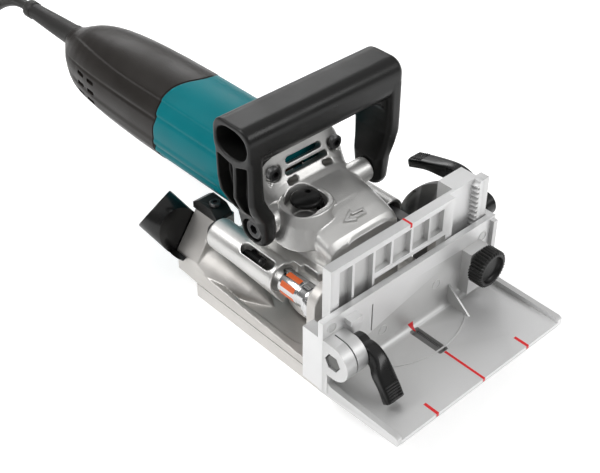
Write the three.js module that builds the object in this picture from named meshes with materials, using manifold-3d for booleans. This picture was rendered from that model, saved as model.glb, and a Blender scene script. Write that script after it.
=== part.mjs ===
// Biscuit joiner: a plunging motor unit on a cast base, with a tilting guide and a sliding fence.
// Millimetres. +Z is up, the cutting side faces -Y, X = 0 is the blade's middle,
// and Z = 0 is the face that the tool stands on. Y is drawn from the front of the base, and the
// whole group is then moved so that the origin lies under the spindle.
import * as THREE from 'three';
import { mergeVertices } from 'three/addons/utils/BufferGeometryUtils.js';
import Module from 'manifold-3d';

const wasm = await Module();
wasm.setup();

// ---------------------------------------------------------------- driving dimensions
const GAP = 0.3; // between pieces that touch
const PLUNGE = 23; // travel of the motor unit
const BASE_HALF = 54; // half width of the base
const BASE_REAR = 132;
const DECK_LOW = 10; // underside of the deck, at the middle of the blade
const DECK_TOP = 16;
const BLADE_Z = 10;
const BLADE_R = 50;
const BLADE_THICK = 4;
const SPINDLE_Y = 53;
const MOTOR_Z = 75; // height of the motor's axis
const MOTOR_R = 31;
const FLANGE_Y = 96; // joint between gear housing and motor housing
const COVER_Y = 193; // joint between motor housing and rear cover
const TAIL_Y = 316; // rear end of the rear cover
const SIDE_X = 43; // side tubes: depth stop on the left, guide bar on the right
const SIDE_Z = 49;
const TUBE_R = 9.5;
const TUBE_FRONT = 57;
const UPRIGHT_FRONT = 19.8;
const UPRIGHT_REAR = 26.5;
const HINGE = [2.2, 17.9]; // Y and Z of the guide's tilt axis
const CLAMP = [14.2, 64.4]; // Y and Z of the stud that locks the tilt
const GUIDE_FRONT = 4.3;
const GUIDE_REAR = 10.4;
const GUIDE_TOP = 94;
const FENCE_HALF = 67;
const FENCE_TOP = 68;
const PLATE_LOW = 21;
const PLATE_TOP = 24;
const PLATE_FRONT = -53.7;
const WALL_REAR = 3.6;
const RACK_X = 53; // tips of the rack's teeth
const RACK_PITCH = 3.2;
const PINION_R = 5; // pitch radius of the height pinion
const KNOB_Z = 48;
const GRIP_TOP = 143.7;
const GRIP_HALF = 56.6;
const CORD_R = 3.5;
const COIL_TURN_RADII = [31.5, 38.5, 45.5, 52.5];
const COIL_AT = [-74, 508];
const GUARD_END = 376;

// ---------------------------------------------------------------- solids
function solidOf(geometry) {
  const bare = geometry.clone();
  bare.deleteAttribute('normal');
  bare.deleteAttribute('uv');
  const merged = mergeVertices(bare, 1e-4);
  return new wasm.Manifold(new wasm.Mesh({
    numProp: 3,
    vertProperties: merged.attributes.position.array,
    triVerts: new Uint32Array(merged.index.array),
  }));
}

function geometryOf(solid) {
  const mesh = solid.getMesh();
  const geometry = new THREE.BufferGeometry();
  geometry.setAttribute('position', new THREE.BufferAttribute(new Float32Array(mesh.vertProperties), 3));
  geometry.setIndex(new THREE.BufferAttribute(new Uint32Array(mesh.triVerts), 1));
  geometry.computeVertexNormals();
  return geometry;
}

const AXES = {
  x: [new THREE.Vector3(0, 1, 0), new THREE.Vector3(0, 0, 1), new THREE.Vector3(1, 0, 0)],
  y: [new THREE.Vector3(1, 0, 0), new THREE.Vector3(0, 0, 1), new THREE.Vector3(0, -1, 0)],
  z: [new THREE.Vector3(1, 0, 0), new THREE.Vector3(0, 1, 0), new THREE.Vector3(0, 0, 1)],
};

// Turns a geometry drawn in local X, Y, with depth along local Z, so that its depth lies along an axis.
function along(axis, geometry) {
  return geometry.applyMatrix4(new THREE.Matrix4().makeBasis(...AXES[axis]));
}

function block(x0, x1, y0, y1, z0, z1) {
  const box = new THREE.BoxGeometry(x1 - x0, y1 - y0, z1 - z0);
  return solidOf(box.translate((x0 + x1) / 2, (y0 + y1) / 2, (z0 + z1) / 2));
}

// An outline extruded between two places on an axis.
// Outlines are (y, z) along x, (x, z) along y, (x, y) along z.
function prism(axis, points, from, to) {
  const shape = new THREE.Shape(points.map(([u, v]) => new THREE.Vector2(u, v)));
  const start = axis === 'y' ? -to : from;
  const geometry = new THREE.ExtrudeGeometry(shape, { depth: to - from, bevelEnabled: false });
  return solidOf(along(axis, geometry.translate(0, 0, start)));
}

// A turned piece: [radius, place along the axis] points that start and end on the axis.
function turned(axis, profile, at, sides = 24) {
  const sign = axis === 'y' ? -1 : 1;
  const outline = profile.map(([r, t]) => new THREE.Vector2(r, sign * t));
  if (sign < 0) outline.reverse();
  const lathe = new THREE.LatheGeometry(outline, sides).rotateX(Math.PI / 2);
  return solidOf(along(axis, lathe.translate(at[0], at[1], 0)));
}

function rod(axis, radius, from, to, at, sides = 24) {
  return turned(axis, [[0, from], [radius, from], [radius, to], [0, to]], at, sides);
}

function ring(axis, inner, outer, from, to, at, sides = 24) {
  return rod(axis, outer, from, to, at, sides).subtract(rod(axis, inner, from - 1, to + 1, at, sides));
}

function arc(centre, radius, startDeg, endDeg, steps) {
  return Array.from({ length: steps + 1 }, (_, i) => {
    const angle = THREE.MathUtils.degToRad(startDeg + ((endDeg - startDeg) * i) / steps);
    return [centre[0] + radius * Math.cos(angle), centre[1] + radius * Math.sin(angle)];
  });
}

function roundedRect(u0, u1, v0, v1, radius, steps = 4) {
  return [
    ...arc([u1 - radius, v0 + radius], radius, -90, 0, steps),
    ...arc([u1 - radius, v1 - radius], radius, 0, 90, steps),
    ...arc([u0 + radius, v1 - radius], radius, 90, 180, steps),
    ...arc([u0 + radius, v0 + radius], radius, 180, 270, steps),
  ];
}

// A superellipse outline: power 2 is an ellipse, higher powers are boxier.
function superellipse(u, v, halfU, halfV, power, steps = 24) {
  return Array.from({ length: steps }, (_, i) => {
    const angle = (2 * Math.PI * i) / steps;
    const c = Math.cos(angle);
    const s = Math.sin(angle);
    return [
      u + halfU * Math.sign(c) * Math.abs(c) ** (2 / power),
      v + halfV * Math.sign(s) * Math.abs(s) ** (2 / power),
    ];
  });
}

// Skins a row of convex outlines, each [place along the axis, points], with the same number of points.
function loft(axis, sections) {
  const rows = axis === 'y' ? [...sections].reverse() : sections;
  const count = rows[0][1].length;
  const positions = rows.flatMap(([w, points]) => points.flatMap(([u, v]) => [u, v, axis === 'y' ? -w : w]));
  const index = [];
  for (let row = 0; row < rows.length - 1; row += 1) {
    for (let i = 0; i < count; i += 1) {
      const a = row * count + i;
      const b = row * count + ((i + 1) % count);
      index.push(a, b, b + count, a, b + count, a + count);
    }
  }
  const last = (rows.length - 1) * count;
  for (let i = 1; i < count - 1; i += 1) {
    index.push(0, i + 1, i);
    index.push(last, last + i, last + i + 1);
  }
  const geometry = new THREE.BufferGeometry();
  geometry.setAttribute('position', new THREE.Float32BufferAttribute(positions, 3));
  geometry.setIndex(index);
  return solidOf(along(axis, geometry));
}

// A round tube along a list of points.
function sweep(points, radius, sides, steps) {
  const curve = new THREE.CatmullRomCurve3(points.map((p) => new THREE.Vector3(...p)), false, 'centripetal');
  const rim = superellipse(0, 0, radius, radius, 2, sides);
  const section = new THREE.Shape(rim.map((p) => new THREE.Vector2(...p)));
  return solidOf(new THREE.ExtrudeGeometry(section, { steps, bevelEnabled: false, extrudePath: curve }));
}

const union = (...solids) => solids.reduce((sum, solid) => sum.add(solid));
const without = (solid, ...cuts) => cuts.reduce((rest, cut) => rest.subtract(cut), solid);

// ---------------------------------------------------------------- materials and scene graph
const LOOKS = {
  castAluminium: [0xb9b9b5, 0.45, 0.9],
  brightSteel: [0xd2d2d2, 0.2, 1],
  darkSteel: [0x4a4a48, 0.45, 0.9],
  blackPlastic: [0x1a1a1b, 0.55, 0],
  rearPlastic: [0x3a3736, 0.5, 0],
  teal: [0x008089, 0.4, 0],
  rubber: [0x262524, 0.75, 0],
  copper: [0xb06a3c, 0.35, 1],
  brass: [0xc9a14a, 0.35, 1],
  carbon: [0x222222, 0.8, 0.1],
  nylon: [0xd8d4c8, 0.6, 0],
};
const group = new THREE.Group();
group.position.y = -SPINDLE_Y;
function piece(name, look, solid) {
  const [color, roughness, metalness] = LOOKS[look];
  const material = new THREE.MeshStandardMaterial({ color, roughness, metalness });
  const mesh = new THREE.Mesh(geometryOf(solid), material);
  mesh.name = name;
  group.add(mesh);
}

// ---------------------------------------------------------------- base
const NOZZLE_AXIS = new THREE.Vector3(-0.315, 0.748, 0.585).normalize();
const NOZZLE_ROOT = new THREE.Vector3(-44.7, 127.7, 27.2);
const NOZZLE_R = 14;
const BRACKET_SCREW = [-34, 126];
const LUG_X = [38, 46]; // lugs of the blade cover's hinge
const COVER_HINGE = [128, 5];

// Places a solid drawn along Z from the origin onto the dust nozzle's axis.
function onNozzleAxis(solid) {
  const turn = new THREE.Quaternion().setFromUnitVectors(new THREE.Vector3(0, 0, 1), NOZZLE_AXIS);
  const matrix = new THREE.Matrix4().compose(NOZZLE_ROOT, turn, new THREE.Vector3(1, 1, 1));
  return solidOf(geometryOf(solid).applyMatrix4(matrix));
}

function baseCasting() {
  const deck = block(-BASE_HALF, BASE_HALF, 0.3, BASE_REAR, DECK_LOW, DECK_TOP);
  const leftUpright = prism('y', [
    [-BASE_HALF, DECK_TOP - 1],
    [-33.5, DECK_TOP - 1],
    ...arc([-43.75, 56], 10.25, 0, 180, 10),
  ], UPRIGHT_FRONT, UPRIGHT_REAR);
  const rightUpright = prism('x', [
    [11.2, DECK_TOP - 1],
    [22, DECK_TOP - 1],
    ...arc([16.8, 66.2], 5.2, 0, 90, 4),
    ...arc([16.4, 66.2], 5.2, 90, 180, 4),
  ], 36, BASE_HALF);
  const tower = prism('y', [[-54, 14], [-24, 14], [-24, 49], [-38, 49], [-54, 26]], 121, 140);
  const chipProfile = [[0, 72], [3, 72], [9, 90], [16, 121], [0, 121]];
  const chipChannel = turned('y', chipProfile, [-38, DECK_TOP - 0.5], 24);
  const rearRib = block(-24.5, BASE_HALF, 126, BASE_REAR, DECK_TOP - 1, 26);
  const lug = (x0, x1) => block(x0, x1, 124, BASE_REAR, 1.5, DECK_LOW + 1);
  const solid = union(
    deck,
    leftUpright,
    rightUpright,
    tower,
    chipChannel.intersect(block(-BASE_HALF, 0, 70, 122, DECK_TOP - 1, 60)),
    rearRib,
    lug(...LUG_X),
    lug(-LUG_X[1], -LUG_X[0]),
  );
  const bladeRoom = block(-52, 52, -1, 107, DECK_LOW - 1, 13.2);
  const spindleRoom = prism('z', roundedRect(-17, 17, 12.5, 71, 16.5, 6), DECK_LOW - 1, DECK_TOP + 1);
  return without(
    solid,
    bladeRoom,
    spindleRoom,
    onNozzleAxis(rod('z', NOZZLE_R + GAP, -2, 60, [0, 0])),
    rod('y', 2.3, 15, 30, [-SIDE_X, SIDE_Z], 16),
    rod('x', 2.8, 34, 60, CLAMP, 20),
    rod('x', 2.3, -50, 50, COVER_HINGE, 16),
    rod('x', 1.8, -55, -48, [HINGE[0], HINGE[1] - 3.9], 12),
    rod('x', 1.8, 48, 55, [HINGE[0], HINGE[1] - 3.9], 12),
  );
}
piece('base_casting', 'castAluminium', baseCasting());
piece('turret_pin', 'brightSteel', rod('y', 2, UPRIGHT_FRONT + 0.5, 48, [-SIDE_X, SIDE_Z], 16));
piece('guide_bar', 'darkSteel', block(SIDE_X - 3.5, SIDE_X + 3.5, 22 + GAP, 116, SIDE_Z - 3.5, SIDE_Z + 3.5)
  .add(block(SIDE_X - 5.4, SIDE_X + 5.4, 62, 65, SIDE_Z - 5.4, SIDE_Z + 5.4)));
piece('tilt_clamp_stud', 'brightSteel', rod('x', 2.5, 36.5, 76, CLAMP, 20));
piece('cover_hinge_pin', 'brightSteel', rod('x', 2, -LUG_X[1], LUG_X[1], COVER_HINGE, 16));

function hingePin(side) {
  const outTo = (reach) => [side * 50.5, side * reach].sort((a, b) => a - b);
  const pin = rod('x', 1.4, ...outTo(60), HINGE, 12);
  const foot = block(...outTo(BASE_HALF), 0.5, 4, DECK_TOP + GAP, 18.5);
  return pin.add(foot);
}
piece('guide_hinge_pin_left', 'brightSteel', hingePin(-1));
piece('guide_hinge_pin_right', 'brightSteel', hingePin(1));

piece('dust_nozzle', 'blackPlastic', onNozzleAxis(
  turned('z', [[0, 4], [12.5, 4], [13.6, 8], [NOZZLE_R, 14], [NOZZLE_R, 38], [0, 38]], [0, 0])
    .subtract(rod('z', 11.6, 2, 40, [0, 0])),
));
function nozzleBracket() {
  const side = [[119.5, 49.3], [141, 49.3], [141, 53.5], [136, 56.8], [124, 56.2], [119.5, 52]];
  const plate = prism('x', side, -39, -27);
  return plate.subtract(onNozzleAxis(rod('z', NOZZLE_R + GAP, -2, 60, [0, 0])))
    .subtract(rod('z', 2.3, 40, 70, BRACKET_SCREW, 16));
}
piece('nozzle_bracket', 'blackPlastic', nozzleBracket());
piece('bracket_screw', 'darkSteel', rod('z', 3.4, 56.7, 59, BRACKET_SCREW, 16)
  .add(rod('z', 2, 50, 57, BRACKET_SCREW, 16)));

function helix(radius, wire, from, to, turns, at) {
  const perTurn = 10;
  const points = Array.from({ length: turns * perTurn + 1 }, (_, i) => {
    const angle = (2 * Math.PI * i) / perTurn;
    const y = from + wire + ((to - from - 2 * wire) * i) / (turns * perTurn);
    return [at[0] + radius * Math.cos(angle), y, at[1] + radius * Math.sin(angle)];
  });
  return sweep(points, wire, 5, turns * perTurn);
}
piece('return_spring', 'brightSteel', helix(6.3, 0.8, 65 + GAP, 104 - GAP, 6, [SIDE_X, SIDE_Z]));

// ---------------------------------------------------------------- blade cover
function bladeCover() {
  const tray = block(-BASE_HALF, BASE_HALF, 4, 129.4, 0, DECK_LOW - GAP);
  const room = block(-51.8, 51.8, 3, 119, 2.4, DECK_LOW + 1);
  const besideLug = (x0, x1) => block(x0, x1, 122.5, 131, -1, DECK_LOW + 1);
  return without(
    tray,
    room,
    besideLug(37.7, 55),
    besideLug(-55, -37.7),
    rod('x', 2.3, -50, 50, COVER_HINGE, 16),
    rod('z', 2.5, -1, 20, [0, 12], 16),
  );
}
piece('blade_cover', 'castAluminium', bladeCover());

// ---------------------------------------------------------------- gear housing
const BUTTON_AT = [-15, 68.6];
const BUTTON_R = 8.8;
const BUTTON_TOP = 84.4;
const BUTTON_UNDERSIDE = 81.4; // its 2.5 mm press leaves it clear of the armature
const BUTTON_SEAT = 78.4;
const SCREW_AT = [23.2, 94.8]; // X and Z of the corner screws
const LOCK_PIN_AT = [-9.8, 62.4];
const HANDLE_BOLT = [75, 75]; // Y and Z of the handle's bolts

function gearHousing() {
  const body = loft('y', [
    [36, superellipse(0, 59, 26, 15, 7)],
    [38, superellipse(0, 58.5, 27.5, 18, 6)],
    [50, superellipse(0, 60, 29, 20.5, 4)],
    [62, superellipse(0, 62.5, 30.5, 24, 3.2)],
    [84, superellipse(0, 68.5, 32.5, 29.5, 2.4)],
    [FLANGE_Y, superellipse(0, MOTOR_Z, 33, 33, 2)],
  ]);
  const skirt = rod('z', 32, DECK_TOP + GAP, 58, [0, SPINDLE_Y], 48)
    .intersect(block(-40, 40, 36, 90, 0, 100));
  const leftTube = rod('y', TUBE_R, TUBE_FRONT, 112, [-SIDE_X, SIDE_Z]);
  const rightTube = rod('y', TUBE_R, TUBE_FRONT, 108, [SIDE_X, SIDE_Z]);
  const webs = block(-SIDE_X, SIDE_X, TUBE_FRONT + 2, 94, 45, 55);
  const bosses = rod('x', 9, -37.4, 37.4, HANDLE_BOLT, 24);
  const ears = [-1, 1].map((side) => rod('y', 5.6, 88, FLANGE_Y, [side * SCREW_AT[0], SCREW_AT[1]], 24));
  const cavity = union(
    rod('z', 15.4, 50.3, 72.5, [0, SPINDLE_Y]),
    rod('z', 15.3, 39.7, 51, [0, SPINDLE_Y]),
    rod('z', 16, 10, 40, [0, SPINDLE_Y]),
    rod('z', 7.3, 70, 74.4, [0, SPINDLE_Y]),
    turned('y', [[0, 57], [4.4, 60.5], [7.2, 68], [7.2, 84], [0, 84]], [0, MOTOR_Z]),
    rod('y', 11.3, 83, 92.4, [0, MOTOR_Z]),
    rod('y', 25, 92, 100, [0, MOTOR_Z]),
  );
  const vents = [-1, 0, 1].map((row) => {
    const front = 82 + row * 4.6;
    return prism('z', roundedRect(-15, 15, front, front + 3, 1.4, 2), 88, 120);
  });
  return without(
    union(body, skirt, leftTube, rightTube, webs, bosses, ...ears),
    cavity,
    rod('z', BUTTON_R + 0.6, BUTTON_SEAT, 120, BUTTON_AT),
    rod('z', 2.6, 70, BUTTON_TOP, LOCK_PIN_AT, 16),
    rod('y', 8.2, TUBE_FRONT - 1, 82, [-SIDE_X, SIDE_Z]),
    rod('y', 3.4, 80, 113, [-SIDE_X, SIDE_Z], 16),
    prism('z', roundedRect(-46.2, -41.2, 68, 90, 2.4), SIDE_Z, 70),
    rod('y', 7.9, TUBE_FRONT - 1, 104, [SIDE_X, SIDE_Z]),
    block(SIDE_X - 3.8, SIDE_X + 3.8, 100, 110, SIDE_Z - 3.8, SIDE_Z + 3.8),
    ...[-1, 1].map((side) => rod('x', 4, side < 0 ? -40 : 27, side < 0 ? -27 : 40, HANDLE_BOLT, 16)),
    ...[-1, 1].map((side) => rod('y', 2.3, 84, 100, [side * SCREW_AT[0], SCREW_AT[1]], 12)),
    ...[-1, 1].map((side) => rod('y', 5, 70, 88, [side * SCREW_AT[0], SCREW_AT[1]], 16)),
    ...vents,
  );
}
piece('gear_housing', 'castAluminium', gearHousing());

['left', 'right'].forEach((name, i) => {
  const side = i ? 1 : -1;
  const screw = union(
    rod('y', 4.2, 84.2, 87.7, [side * SCREW_AT[0], SCREW_AT[1]], 16),
    rod('y', 2, 87, 104, [side * SCREW_AT[0], SCREW_AT[1]], 12),
  ).subtract(rod('y', 1.8, 84, 86.5, [side * SCREW_AT[0], SCREW_AT[1]], 6));
  piece(`housing_screw_${name}`, 'darkSteel', screw);
  const bolt = union(
    rod('x', 6, side < 0 ? -47.8 : 41.8, side < 0 ? -41.8 : 47.8, HANDLE_BOLT, 24),
    rod('x', 3.7, side < 0 ? -42 : 28, side < 0 ? -28 : 42, HANDLE_BOLT, 16),
  ).subtract(rod('x', 3, side < 0 ? -48 : 44.5, side < 0 ? -44.5 : 48, HANDLE_BOLT, 6));
  piece(`handle_bolt_${name}`, 'darkSteel', bolt);
});

function depthRod() {
  return union(
    rod('y', 3, TUBE_FRONT - 7 + PLUNGE + GAP, 112.5, [-SIDE_X, SIDE_Z], 16),
    rod('y', 5.2, 112.3, 117, [-SIDE_X, SIDE_Z], 20),
  );
}
piece('depth_rod', 'darkSteel', depthRod());

// ---------------------------------------------------------------- handle
function handlePost(side) {
  const section = (z, xIn, xOut, y0, y1, round) => {
    const [x0, x1] = side < 0 ? [-xOut, -xIn] : [xIn, xOut];
    return [z, roundedRect(x0, x1, y0, y1, round, 3)];
  };
  return loft('z', [
    section(65.5, 40, 48, 68, 82, 3.5),
    section(70, 37.8, 49, 65.5, 85, 3.5),
    section(84, 38.5, 50, 65, 87, 3.5),
    section(98, 46, GRIP_HALF, 65.5, 93, 3),
    section(128, 46, GRIP_HALF, 65.6, 95.3, 3),
  ]);
}
function dHandle() {
  const grip = prism('x', roundedRect(65.6, 95.6, 119.5, GRIP_TOP, 8, 5), -GRIP_HALF, GRIP_HALF);
  const mouth = prism('x', superellipse(80.6, 132, 11.2, 7.4, 2.4, 24), -GRIP_HALF - 1, -30);
  const bolts = [-1, 1].flatMap((side) => [
    rod('x', 4, side < 0 ? -50 : 36, side < 0 ? -36 : 50, HANDLE_BOLT, 16),
    rod('x', 7, side < 0 ? -55 : 41.5, side < 0 ? -41.5 : 55, HANDLE_BOLT, 24),
  ]);
  return without(union(grip, handlePost(-1), handlePost(1)), mouth, ...bolts);
}
piece('d_handle', 'blackPlastic', dHandle());

// ---------------------------------------------------------------- motor
function motorHousing() {
  const shell = turned('y', [
    [0, FLANGE_Y + GAP],
    [33, FLANGE_Y + GAP],
    [33, 101],
    [MOTOR_R, 106],
    [MOTOR_R, COVER_Y - GAP],
    [0, COVER_Y - GAP],
  ], [0, MOTOR_Z], 40);
  const foot = loft('y', [
    [FLANGE_Y + 1, superellipse(0, 52, 24, 13, 5, 24)],
    [118, superellipse(0, 55, 20, 12, 5, 24)],
  ]);
  const inside = union(
    rod('y', 12, 90, 110, [0, MOTOR_Z]),
    rod('y', 27.6, 99, COVER_Y + 1, [0, MOTOR_Z]),
  );
  const screwHoles = [-1, 1].map((side) => rod('y', 2.3, 90, 106, [side * SCREW_AT[0], SCREW_AT[1]], 12));
  return without(union(shell, foot), inside, ...screwHoles, block(24, 40, 164.5, 179, 72, 78));
}
piece('motor_housing', 'teal', motorHousing());

const COVER_PROFILE = [
  [COVER_Y, 31.2], [215, 31.6], [235, 31.2], [255, 29.6], [272, 26.8], [286, 22.6], [297, 17], [306, 11],
  [TAIL_Y, 9],
];
const tailRise = (y) => 3 * Math.max(0, (y - 230) / (TAIL_Y - 230));
function rearCover() {
  const outer = COVER_PROFILE.map(([y, r]) => [y, superellipse(0, MOTOR_Z + tailRise(y), r, r, 2)]);
  const inner = COVER_PROFILE.slice(0, 7).map(([y, r], i) => [
    i ? y : y - 1,
    superellipse(0, MOTOR_Z + tailRise(y), r - 3, r - 3, 2),
  ]);
  const cordWay = rod('y', 6.8, 290, TAIL_Y + 1, [0, MOTOR_Z + 3], 20);
  return without(loft('y', outer), loft('y', inner), cordWay);
}
piece('rear_cover', 'rearPlastic', rearCover());

piece('cord_guard', 'rubber', turned('y', [
  [0, 293.4], [8.5, 293.4], [8.5, 296.6], [6.4, 296.6], [6.4, TAIL_Y + GAP], [7.6, TAIL_Y + GAP],
  [7.2, TAIL_Y + 8], [5.2, GUARD_END - 6], [6.2, GUARD_END - 5.4], [6.2, GUARD_END - 1], [5.4, GUARD_END],
  [0, GUARD_END],
], [0, MOTOR_Z + 3], 20));

piece('stator', 'darkSteel', ring('y', 17.2, 27.2, 124, 164, [0, MOTOR_Z], 28));
const switchBody = block(-11, 11, 214, 244, 64, 84);
piece('switch_unit', 'blackPlastic', switchBody.subtract(block(-9, 9, 212, 216, 66, 82)));
piece('fan_baffle', 'nylon', ring('y', 14, 27.2, 114.5, 116.5, [0, MOTOR_Z], 28));
piece('armature_front_bearing', 'brightSteel', ring('y', 4.4, 11, 84.4, 91.8, [0, MOTOR_Z], 24));
piece('armature_rear_bearing', 'brightSteel', ring('y', 4.4, 10, 198, 205, [0, MOTOR_Z], 24));
piece('rear_bearing_seat', 'nylon', ring('y', 10.4, 27.2, 195, 205, [0, MOTOR_Z], 24));
piece('spindle_lower_bearing', 'brightSteel', ring('z', 5.4, 15, 40.2, 49.8, [0, SPINDLE_Y], 28));
piece('spindle_upper_bearing', 'brightSteel', ring('z', 4.3, 7, 70.9, 74, [0, SPINDLE_Y], 20));

['left', 'right'].forEach((name, i) => {
  const side = i ? 1 : -1;
  const span = (near, far) => (side < 0 ? [-far, -near] : [near, far]);
  const outside = block(...span(12, 26.5), 173.8, 182.2, 70.8, 79.2);
  const tube = outside.subtract(block(...span(11, 24.5), 175, 181, 72, 78));
  piece(`brush_holder_${name}`, 'brass', tube);
  piece(`carbon_brush_${name}`, 'carbon', block(...span(9.4, 24), 175.3, 180.7, 72.3, 77.7));
});

// Armature, in one piece with its shaft, core, windings and commutator.
piece('armature', 'copper', turned('y', [
  [0, 61.2], [2.4, 61.2], [2.4, 68], [4, 68], [4, 121], [12, 123], [12, 127], [16.7, 127.5], [16.7, 161],
  [12, 161.5], [12, 167], [9, 168], [9, 184], [4, 184.5], [4, 206], [0, 206],
], [0, MOTOR_Z], 20));

// A ring of straight teeth on a cone, as a loft of two toothed outlines.
function toothedOutline(at, rootR, tipR, teeth) {
  const points = [];
  for (let tooth = 0; tooth < teeth; tooth += 1) {
    [[0, rootR], [0.3, rootR], [0.42, tipR], [0.68, tipR], [0.8, rootR]].forEach(([share, r]) => {
      const angle = (2 * Math.PI * (tooth + share)) / teeth;
      points.push([at[0] + r * Math.cos(angle), at[1] + r * Math.sin(angle)]);
    });
  }
  return points;
}
const PINION_TEETH = 11;
const GEAR_TEETH = 27;
function bevelPinion() {
  const teeth = loft('y', [
    [61.8, toothedOutline([0, MOTOR_Z], 2.9, 3.7, PINION_TEETH)],
    [66.3, toothedOutline([0, MOTOR_Z], 4.5, 5.3, PINION_TEETH)],
  ]);
  return teeth.subtract(rod('y', 2.7, 60, 70, [0, MOTOR_Z], 16));
}
piece('bevel_pinion', 'brightSteel', bevelPinion());
function bevelGear() {
  const at = [0, SPINDLE_Y];
  const teeth = loft('z', [
    [66.4, toothedOutline(at, 12.6, 13.4, GEAR_TEETH)],
    [68.6, toothedOutline(at, 10.4, 11.2, GEAR_TEETH)],
  ]);
  return union(teeth, rod('z', 12.4, 61, 66.6, at, 28)).subtract(rod('z', 5.3, 60, 70, at, 20));
}
piece('bevel_gear', 'brightSteel', bevelGear());

function coolingFan() {
  const hub = ring('y', 4.3, 9, 106, 113, [0, MOTOR_Z], 20);
  const disc = ring('y', 8.5, 25, 111.8, 113.2, [0, MOTOR_Z], 28);
  const blades = Array.from({ length: 9 }, (_, i) => {
    const blade = new THREE.BoxGeometry(16.5, 6, 1.4).translate(16.4, 109, 0);
    return solidOf(blade.rotateY((2 * Math.PI * i) / 9).translate(0, 0, MOTOR_Z));
  });
  return union(hub, disc, ...blades);
}
piece('cooling_fan', 'nylon', coolingFan());

// ---------------------------------------------------------------- spindle and blade
const spindleAt = [0, SPINDLE_Y];
piece('spindle', 'brightSteel', turned('z', [
  [0, 3], [4, 3], [4, 12], [5, 12], [5, 69.8], [4, 70], [4, 73.6], [0, 73.6],
], spindleAt, 24));
piece('blade_flange', 'darkSteel', ring('z', 5.3, 14, 12.3, 19, spindleAt, 28));
piece('blade_nut', 'darkSteel', ring('z', 4.3, 12, 3.6, 7.7, spindleAt, 28));
function blade() {
  const outline = [];
  const tips = [];
  for (let angle = 0; angle < 360; angle += 60) {
    const at = (turn, radius) => arc(spindleAt, radius, angle + turn, angle + turn, 1)[0];
    outline.push(at(0, 49), at(1.5, 44), at(12, 42), at(22, 48), at(38, 48.5), at(50, 48));
    tips.push(prism('z', [at(-5, 43.5), at(0.5, 43.5), at(0, BLADE_R), at(-4, 49.4)],
      BLADE_Z - BLADE_THICK / 2, BLADE_Z + BLADE_THICK / 2));
  }
  const plate = prism('z', outline, BLADE_Z - 1.1, BLADE_Z + 1.1);
  const hub = rod('z', 11, BLADE_Z - 2, BLADE_Z + 2, spindleAt, 28);
  return union(plate, hub, ...tips).subtract(rod('z', 4.3, 0, 20, spindleAt, 24));
}
piece('blade', 'brightSteel', blade());

// ---------------------------------------------------------------- angle guide
function angleGuide() {
  const plate = block(-57.8, 34.3, GUIDE_FRONT, GUIDE_REAR, 24, GUIDE_TOP);
  const recess = block(34, 62.6, 8.6, GUIDE_REAR, 24, GUIDE_TOP);
  const rackColumn = block(RACK_X + 2.2, 62.6, GUIDE_FRONT, GUIDE_REAR, 24, GUIDE_TOP);
  const block45 = block(39, 58.3, GUIDE_REAR - 1, 21, 76, GUIDE_TOP);
  const teeth = [];
  for (let z = 27; z < GUIDE_TOP - 2; z += RACK_PITCH) {
    teeth.push(prism('y', [
      [RACK_X + 2.5, z - 1.2],
      [RACK_X + 2.5, z + 1.2],
      [RACK_X, z + 0.5],
      [RACK_X, z - 0.5],
    ], GUIDE_FRONT, 8.9));
  }
  const pocketWidth = 10.6;
  const pockets = [-47.4, -33.4, -19.4, -5.6, 8.4, 21.4].map((x, i) => {
    const low = i < 2 ? 30 : 75;
    const half = pocketWidth / 2;
    return block(x - half, x + half, GUIDE_FRONT - 1, GUIDE_FRONT + 3.2, low, GUIDE_TOP - 3.5);
  });
  const window = block(-26, 29, 0, 20, 20, 72.5);
  const ear = prism('x', [
    ...arc(HINGE, 2.8, 180, 360, 8),
    [GUIDE_REAR, 21],
    [GUIDE_REAR, 32],
    [GUIDE_FRONT, 32],
    [GUIDE_FRONT, 20.7],
  ], -57.8, -BASE_HALF - GAP);
  const solid = union(plate, recess, rackColumn, block45, ear, ...teeth);
  return without(solid, window, ...pockets, rod('x', 1.7, -62, -50, HINGE, 12));
}
piece('angle_guide', 'castAluminium', angleGuide());

// The quadrant hangs from the guide; its slot is centred on the hinge and rides on the clamp stud.
function tiltQuadrant() {
  const slotR = Math.hypot(CLAMP[0] - HINGE[0], CLAMP[1] - HINGE[1]);
  const high = THREE.MathUtils.radToDeg(Math.atan2(CLAMP[1] - HINGE[1], CLAMP[0] - HINGE[0]));
  const disc = prism('x', [[HINGE[0] - 2.4, 15.2], [6, 1.2], [53, 1.2], ...arc([11.4, 31.9], 51, -32, 93, 30),
    [GUIDE_REAR + GAP, 80], [GUIDE_REAR + GAP, 20.7], [HINGE[0] - 2.4, 20.7]], BASE_HALF + GAP, 58.3);
  const slot = prism('x', [
    ...arc(HINGE, slotR + 2.9, high - 90, high, 24),
    ...arc(HINGE, slotR - 2.9, high - 90, high, 24).reverse(),
  ], 50, 62);
  const ends = [high, high - 90].map((angle) => {
    const at = arc(HINGE, slotR, angle, angle, 1)[0];
    return rod('x', 2.9, 50, 62, at, 16);
  });
  const upper = block(50, 62, 0, 30, 76 - GAP, 100);
  return without(disc, slot, ...ends, upper, rod('x', 1.7, 50, 62, HINGE, 12));
}
piece('tilt_quadrant', 'darkSteel', tiltQuadrant());

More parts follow.
